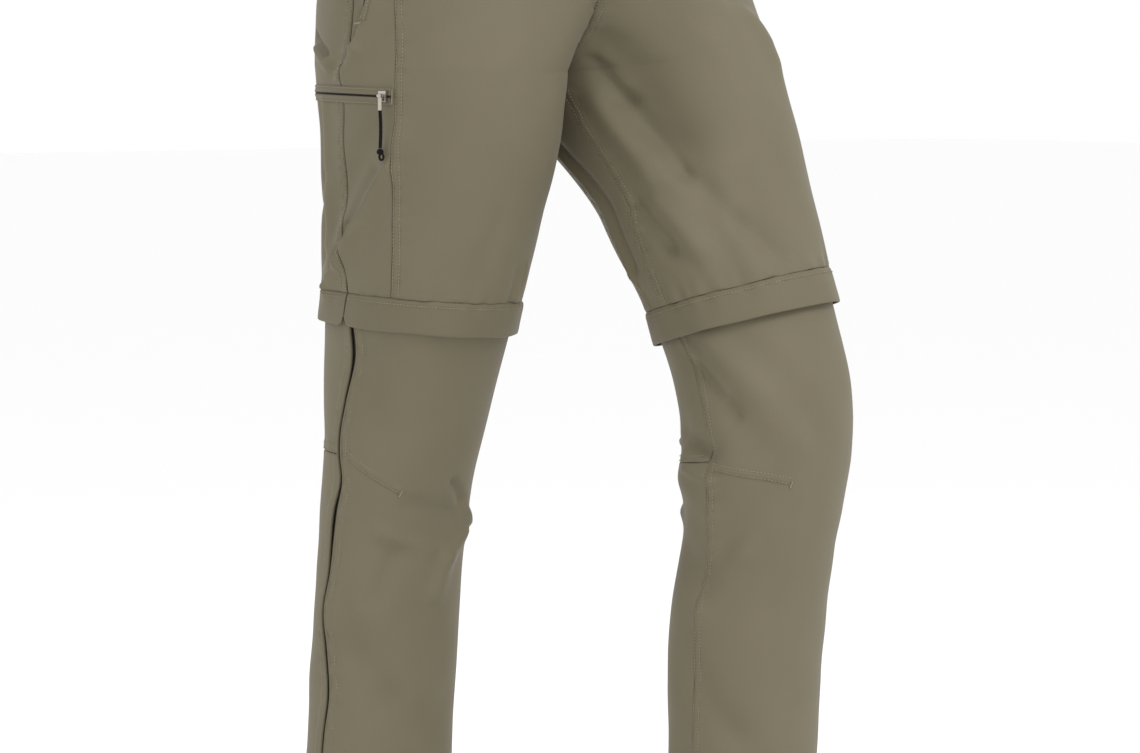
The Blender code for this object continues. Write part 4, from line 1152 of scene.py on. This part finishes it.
# rise above the zip's middle, offset out of the cloth
TOP_WELT = [(7.2, -0.3), (6.9, 0.9), (6.0, 1.2), (4.4, 1.0), (2.6, 1.5), (1.2, 1.9), (0.8, 0.9)]
LOW_WELT = [(-0.8, 0.9), (-1.2, 1.9), (-2.8, 1.6), (-4.6, 1.1), (-6.2, 1.3), (-7.0, 1.0), (-7.4, -0.3)]
CARGO_TAPE = [(2.0, 0.3), (0.9, 0.7), (-0.9, 0.7), (-2.0, 0.3)]
u = np.linspace(math.radians(CARGO_FROM), math.radians(CARGO_TO), 60)
for name, profile, material, slot, solid in (
    ("cargo_welt_top", TOP_WELT, DOUBLED_NYLON, "nylon_trim", "cargo_welt_upper"),
    ("cargo_welt_bottom", LOW_WELT, DOUBLED_NYLON, "nylon_trim", "cargo_welt_lower"),
    ("cargo_zip_tape", CARGO_TAPE, ZIP_TAPE, "zip_chain", "cargo_zip"),
):
    points = np.stack([cloth(RIGHT, u, CARGO_MIDDLE + rise, out) for rise, out in profile])
    sewn_sheet(name, points, RIGHT, 0.5, material, (solid,))
coil("cargo_zip_coil", RIGHT, u, np.full(len(u), CARGO_MIDDLE), 1.0)

# %% [markdown]
# The waistband
#
# The photograph cuts the waist off, so only what such trousers must have is
# made there: a straight doubled band, lapped over the front with one button,
# a zipped fly under it, and six loops for a belt.

# %% The waistband
# side, angle, offset: round from the front, the left end rising over the right
laps = [(RIGHT, a, 0.0) for a in np.linspace(0.1, 180, 90)]
laps += [(LEFT, a, 0.0) for a in np.linspace(178, 7.5, 88)]
laps += [(LEFT, 5.5, 0.7), (LEFT, 3.5, 1.6), (LEFT, 0.0, 2.7)]
laps += [(RIGHT, a, 2.7) for a in (2, 4, 6, 8.5, 11, 12.4, 13)]
band_rows = np.array([20, 19.3, 18.3, 17, 15.5, 12, 8, 4, 0, -4, -8, -12, -15.5, -17, -18.3, -19.3, -20])
band_relief = 0.9 - 0.5 * np.exp(-(((np.abs(band_rows) - 20) / 0.8) ** 2))
band_relief -= 0.25 * np.exp(-(((np.abs(band_rows) - 17) / 1.0) ** 2))
columns = [cloth(side, math.radians(a), band_rows, band_relief + out) for side, a, out in laps]
points = np.stack(columns, axis=1)
band = sewn_sheet("waistband_cloth", points, RIGHT, BAND_WALL, DOUBLED_NYLON, ("waistband",))
print("waistband columns:", len(laps), "rows:", len(band_rows))

# %% [markdown]
# Belt loops and fly shield
#
# A loop is a narrow strip, stitched down at both ends and standing off the band
# between them. The shield is a strip of cloth behind the fly, from one half
# across the middle plane to the other.

# %% Belt loops and fly shield
# height, offset: the upper half of a loop, mirrored for the lower half
stand = [(17.5, 0.9), (17.0, 1.9), (15.5, 2.3), (13.5, 3.2), (9, 4.6), (4, 5.2)]
stand += [(-z, out) for z, out in stand[::-1]]
loop_angles = [(RIGHT, 32), (RIGHT, 94), (RIGHT, 152), (LEFT, 32), (LEFT, 94), (LEFT, 152)]
# distance from the loop's middle, drop of its edges
half_strip = [(-5, 0.5), (-4.4, 0.05), (-2.5, 0.12)]
across_strip = half_strip + [(0, 0)] + [(-shift, drop) for shift, drop in half_strip[::-1]]
for number, (side, angle) in enumerate(loop_angles, start=1):
    strip = []
    for shift, drop in across_strip:
        u = float(turned(side, math.radians(angle), 0.0, shift))
        strip.append([cloth(side, u, z, out - drop) for z, out in stand])
    loop = sewn_sheet(
        f"belt_loop_cloth_{number}", np.array(strip).transpose(1, 0, 2), side, 1.0, DOUBLED_NYLON,
        (f"belt_loop_{number}",),
    )

BEHIND = -2.6
rows = []
for z in np.linspace(-24, -150, 40):
    first = float(inner_edge(np.array(z)))
    row = [cloth(LEFT, first + math.radians(a), z, BEHIND) for a in (8, 5, 2.5)]
    row.append((cloth(LEFT, first, z, BEHIND) + cloth(RIGHT, first, z, BEHIND)) / 2)
    row += [cloth(RIGHT, first + math.radians(a), z, BEHIND) for a in (2.5, 5, 8, 12, 15)]
    rows.append(row)
shield = sewn_sheet("fly_shield_cloth", np.array(rows), RIGHT, 1.0, NYLON, ("fly_shield",))
print("belt loops:", number)

# %% [markdown]
# Stitches
#
# A lockstitch shows as a row of short thread ends. Each is a stretched bead,
# three millimetres from the next, half sunk in the cloth. One function walks
# along any line on the form, so a row is only a seam, a distance and a length.

# %% Rows of stitches
STITCH_PITCH, STITCH_HALF, THREAD_RADIUS = 3.0, 1.1, 0.36


def down_row(side, seam, top, bottom, distance, out):
    """Points and facing of a row that runs down the leg beside a seam."""
    z = np.arange(top, bottom, -1.0)
    u = turned(side, seam(side, z), z, distance)
    return cloth(side, u, z, out(z)), facing(side, u, z)


def round_row(side, from_angle, to_angle, from_height, to_height, out):
    """Points and facing of a row that runs round the leg, level or sloping."""
    u = np.radians(np.linspace(from_angle, to_angle, 300))
    z = np.linspace(from_height, to_height, 300)
    return cloth(side, u, z, out(z)), facing(side, u, z)


def sew(name, rows):
    """Lays a bead for each stitch of all the rows."""
    spots, outs = [], []
    for points, away in rows:
        places, ways, shares = spaced(points, STITCH_PITCH)
        for place, way, share in zip(places, ways, shares):
            spots.append(place)
            outs.append((way, away[int(share * (len(away) - 1))]))
    beads(name, spots, outs, THREAD_RADIUS, STITCH_HALF, THREAD)


def beside(table, column=1):
    """A table's seam, as a line for stitches to follow."""
    return lambda side, z: seam_angle(table, column, z, side)


def flat_lift(height):
    """Stitches this high on the cloth."""
    return lambda z: 0 * z + height


def tucked_lift(height):
    """The same on the zip-off leg, which lies deeper at its top."""
    return lambda z: tuck(z) + height


# %% [markdown]
# Which seams are stitched
#
# Each line is one seam: where it runs, where it starts and stops, how far from
# it the rows lie (a felled seam has two), and how high they lie on the cloth.

# %% Rows down each leg
SEWN_DOWN = [
    # seam, top, bottom, distances, lift
    (beside(FRONT_SEAM), -22, THIGH_END + 1, (-1.2, -7.0), flat_lift(0.5)),
    (beside(SIDE_SEAM), -22, THIGH_END + 1, (1.2, 7.0), flat_lift(0.5)),
    (beside(GUSSET, 1), -252, THIGH_END + 1, (1.2, 7.0), flat_lift(0.5)),
    (beside(GUSSET, 2), -252, THIGH_END + 1, (1.2, 7.0), flat_lift(0.5)),
    (beside(INSEAM), FLAP_END, HEM + 1, (1.2, 7.0), tucked_lift(0.5)),
    (lambda side, z: inner_edge(z), -22, CROTCH + 4, (1.2, 7.0), flat_lift(0.5)),
    (lambda side, z: zip_edge(side, z, -1), FLAP_END, HEM + 1, (-7.6,), tucked_lift(0.6)),
    (lambda side, z: zip_edge(side, z, 1), FLAP_END, HEM + 1, (7.6,), tucked_lift(0.6)),
    (lambda side, z: np.radians(curve(POCKET_SLIT, 1, z)), -60, -198, (-10.6,), flat_lift(1.1)),
]
for side, word in SIDES:
    rows = []
    for seam, top, bottom, distances, lift in SEWN_DOWN:
        rows += [down_row(side, seam, top, bottom, distance, lift) for distance in distances]
    sew(f"seam_stitches_{word}", rows)

# %% Rows round each leg, the cargo pocket and the waist
for side, word in SIDES:
    flap_row, hem_row = FLAP_TOP - 3.2, HEM + 19
    rows = [round_row(side, 92, 447, flap_row, flap_row, flat_lift(2.0))]
    rows.append(round_row(side, 0, 359, hem_row, hem_row, flat_lift(0.6)))
    for rise in (1.3, 6.0):
        rows.append(round_row(side, 98, 268, KNEE_SEAM + rise, KNEE_SEAM + rise, tucked_lift(0.5)))
    from_angle, from_height, to_angle, to_height = KNEE_DARTS[side]
    for rise in (1.0, 6.0):
        dart_row = round_row(
            side, from_angle, to_angle, from_height + rise, to_height + rise, tucked_lift(0.4)
        )
        rows.append(dart_row)
    sew(f"hem_stitches_{word}", rows)

rows = []
for rise in (5.6, -6.0):
    z = CARGO_MIDDLE + rise
    rows.append(round_row(RIGHT, CARGO_FROM, CARGO_TO, z, z, flat_lift(1.35)))
sew("cargo_stitches", rows)
rows = [round_row(side, 1, 179.5, z, z, flat_lift(0.8)) for z in (17, -17) for side in (RIGHT, LEFT)]
sew("waistband_stitches", rows)

# %% [markdown]
# Bartacks
#
# Pocket ends and dart points take the most pull, so they end in a bartack: a
# dozen threads side by side across the seam.

# %% Bartacks at the points of strain
TACKS = [
    # side, angle, height, out, length, tilt of the row in degrees
    (RIGHT, 34, -597, 0.0, 6, 65),
    (LEFT, -22, -588, 0.0, 6, 75),
    (RIGHT, 86, -199, 1.0, 8, 8),
    (LEFT, 86, -199, 1.0, 8, 8),
    (RIGHT, 66.5, CARGO_MIDDLE, 1.4, 13, 90),
]
TACK_PITCH, TACK_RISE = 0.55, 0.7
spots, outs = [], []
for side, angle, height, out, length, tilt in TACKS:
    u, tilt = math.radians(angle), math.radians(tilt)
    point, away = cloth(side, u, height, out + TACK_RISE), facing(side, u, height)
    level = np.cross((0, 0, 1), away)
    level = level / np.linalg.norm(level)
    upward = np.cross(away, level)
    row_way = level * math.cos(tilt) + upward * math.sin(tilt)
    cross_way = np.cross(away, row_way)
    for k in np.arange(-length / 2, length / 2, TACK_PITCH):
        spots.append(point + row_way * k)
        outs.append((cross_way, away))
beads("bartacks", spots, outs, 0.3, 1.0, THREAD)

# %% [markdown]
# The cord on the cargo zip
#
# A short braid hangs from the zip's tab and ends in a knot, so that a gloved
# hand can find it. A round braid shows as strands that cross in a zigzag: the
# tube's wall is pushed in and out along two sets of helices.

# %% Braided pull cord
pull = [j for j in frame["joints"] if j["name"] == "pull_cargo_swing"][0]
hinge = np.array(pull["pos_m"]) / MM
level = np.array(pull["axis"], float)
UP = np.array([0, 0, 1.0])
# Heights are from the tab's hinge.
CORD_WIDTH, CORD_TOP, CORD_END, CORD_BOW = 3.0, -12.3, -43.7, 0.7
STRANDS, FURROW = 2, 0.16


def cord_line(share):
    """The cord's middle line, with the slight bow of a cord that hangs free."""
    share = np.asarray(share, float)
    bow = CORD_BOW * np.sin(math.pi * share)
    down = CORD_TOP + (CORD_END - CORD_TOP) * share
    return hinge + level * bow[..., None] + UP * down[..., None]


def braided_tube(name, path, radii, turns):
    """A closed tube along a path, its wall pushed in and out where strands cross."""
    outward = np.cross(level, (0, 0, 1))
    ways = np.gradient(path, axis=0)
    ways = ways / np.linalg.norm(ways, axis=1, keepdims=True)
    sideways = np.cross(ways, outward)
    angles = np.linspace(0, 2 * math.pi, 25)
    lap = 2 * math.pi * turns * np.linspace(0, 1, len(path))[:, None]
    weave = np.maximum(np.cos(STRANDS * angles + lap), np.cos(STRANDS * angles - lap))
    radius = (np.asarray(radii)[:, None] * (1.01 - FURROW + FURROW * weave))[..., None]
    round_tube = angles[None, :, None]
    wall = np.cos(round_tube) * sideways[:, None] + np.sin(round_tube) * outward
    mesh = sheet_mesh(name, path[:, None] + radius * wall, False, ring=True, closed_ends=True)
    bm = bmesh.new()
    bm.from_mesh(mesh)
    bmesh.ops.recalc_face_normals(bm, faces=bm.faces)
    bm.to_mesh(mesh)
    bm.free()
    return mesh


shares = np.linspace(0, 1, 110)
mesh = braided_tube("pull_cord_braid", cord_line(shares), np.full(110, CORD_WIDTH / 2), 7)
cord = link("pull_cord_braid", mesh, BRAID, ("pull_cord",), "pull_cargo")
print("cord in mm:", round(CORD_TOP - CORD_END, 1))

# %% [markdown]
# The knot is a tight ball, and the cord's end comes back out of it as a small
# loop. Both are the same braid, so both are tubes from the same function.

# %% The knot and its loop
down = np.linspace(0, 1, 36)
ball = hinge + UP * (-44.0 - 5.6 * down)[:, None]
ball_radii = 0.15 + 2.95 * np.sqrt(np.clip(np.sin(math.pi * down), 0, 1))
turn = np.radians(np.linspace(115, 430, 60))
loop_line = hinge + level * (1.3 + 2.1 * np.cos(turn))[:, None]
loop_line = loop_line + UP * (-51.0 + 2.7 * np.sin(turn))[:, None]
bm = bmesh.new()
bm.from_mesh(braided_tube("knot_ball", ball, ball_radii, 1.5))
bm.from_mesh(braided_tube("knot_loop", loop_line, np.full(60, 0.95), 5))
knot_mesh = bpy.data.meshes.new("pull_cord_knot")
bm.to_mesh(knot_mesh)
bm.free()
knot = link("pull_cord_knot", knot_mesh, BRAID, ("cord_knot",), "pull_cargo")
print("knot faces:", len(knot_mesh.polygons))

# %% [markdown]
# Metal and button
#
# The sliders, tabs and button already have their true shape in the solids, so
# they keep it and take only a finish.

# %% Finish of the hard pieces
for name, obj in nodes.items():
    if name.startswith(("slider_", "pull_tab_")):
        finish, slot = ZINC, "pull_metal"
    elif name == "waist_button":
        finish, slot = MELAMINE, "horn_button"
    else:
        continue
    obj.data.materials.clear()
    obj.data.materials.append(finish)
    print(name, "in", finish.name)

# %% [markdown]
# Studio
#
# The photograph is a cut-out on white, lit softly from the front. A pale floor
# and a white world give that ground. The main light stands high at the
# camera's right, so that each fold has a lit and a dark flank. A weak one
# opens up the shadows at its left, and a third lights the garment from behind.

# %% Floor, world and lights
FLOOR = cad_low.z - 0.002
bm = bmesh.new()
bmesh.ops.create_grid(bm, x_segments=2, y_segments=2, size=30)
bmesh.ops.translate(bm, verts=bm.verts, vec=(0, 0, FLOOR))
floor_mesh = bpy.data.meshes.new("floor")
bm.to_mesh(floor_mesh)
bm.free()
floor = bpy.data.objects.new("floor", floor_mesh)
bpy.context.scene.collection.objects.link(floor)
PAPER, tree, shader = new_material("white_paper", Base_Color=linear("#fcfcfc"), Roughness=0.9)
floor_mesh.materials.append(PAPER)
floor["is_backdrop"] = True

world = bpy.data.worlds.new("studio")
world.use_nodes = True
world.node_tree.nodes["Background"].inputs["Color"].default_value = (1.0, 1.0, 1.0, 1.0)
world.node_tree.nodes["Background"].inputs["Strength"].default_value = 1.0
bpy.context.scene.world = world


def area_light(name, turn, rise, distance, size, power):
    """A square light that looks at the middle of the garment."""
    data = bpy.data.lights.new(name, "AREA")
    data.size, data.energy = size, power
    look_in(bpy.data.objects.new(name, data), turn, rise, distance)


# name, turn and rise in degrees, distance and size in metres, power in watts
area_light("key", 0, 48, 3.2, 1.3, 34)
area_light("fill", -95, 18, 3.4, 2.2, 4)
area_light("back", 150, 35, 3.2, 1.6, 10)
bpy.context.scene.view_settings.view_transform = "Standard"
print("lights:", len(bpy.data.lights))

# %% [markdown]
# Sizes, and the end
#
# The last cell counts triangles and prints the dressed garment's box, to be
# read beside that of the solids printed at the start. The two have to stay
# within a few millimetres.

# %% Count, measure and finish
triangles = {}
graph = bpy.context.evaluated_depsgraph_get()
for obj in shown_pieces():
    mesh = obj.evaluated_get(graph).to_mesh()
    triangles[obj.name] = sum(len(p.vertices) - 2 for p in mesh.polygons)
print("pieces:", len(triangles), "triangles:", sum(triangles.values()))
print("largest:", sorted(triangles.items(), key=lambda kv: -kv[1])[:4])
low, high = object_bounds()
print("box in mm:", [round(v / MM, 1) for v in (high - low)])
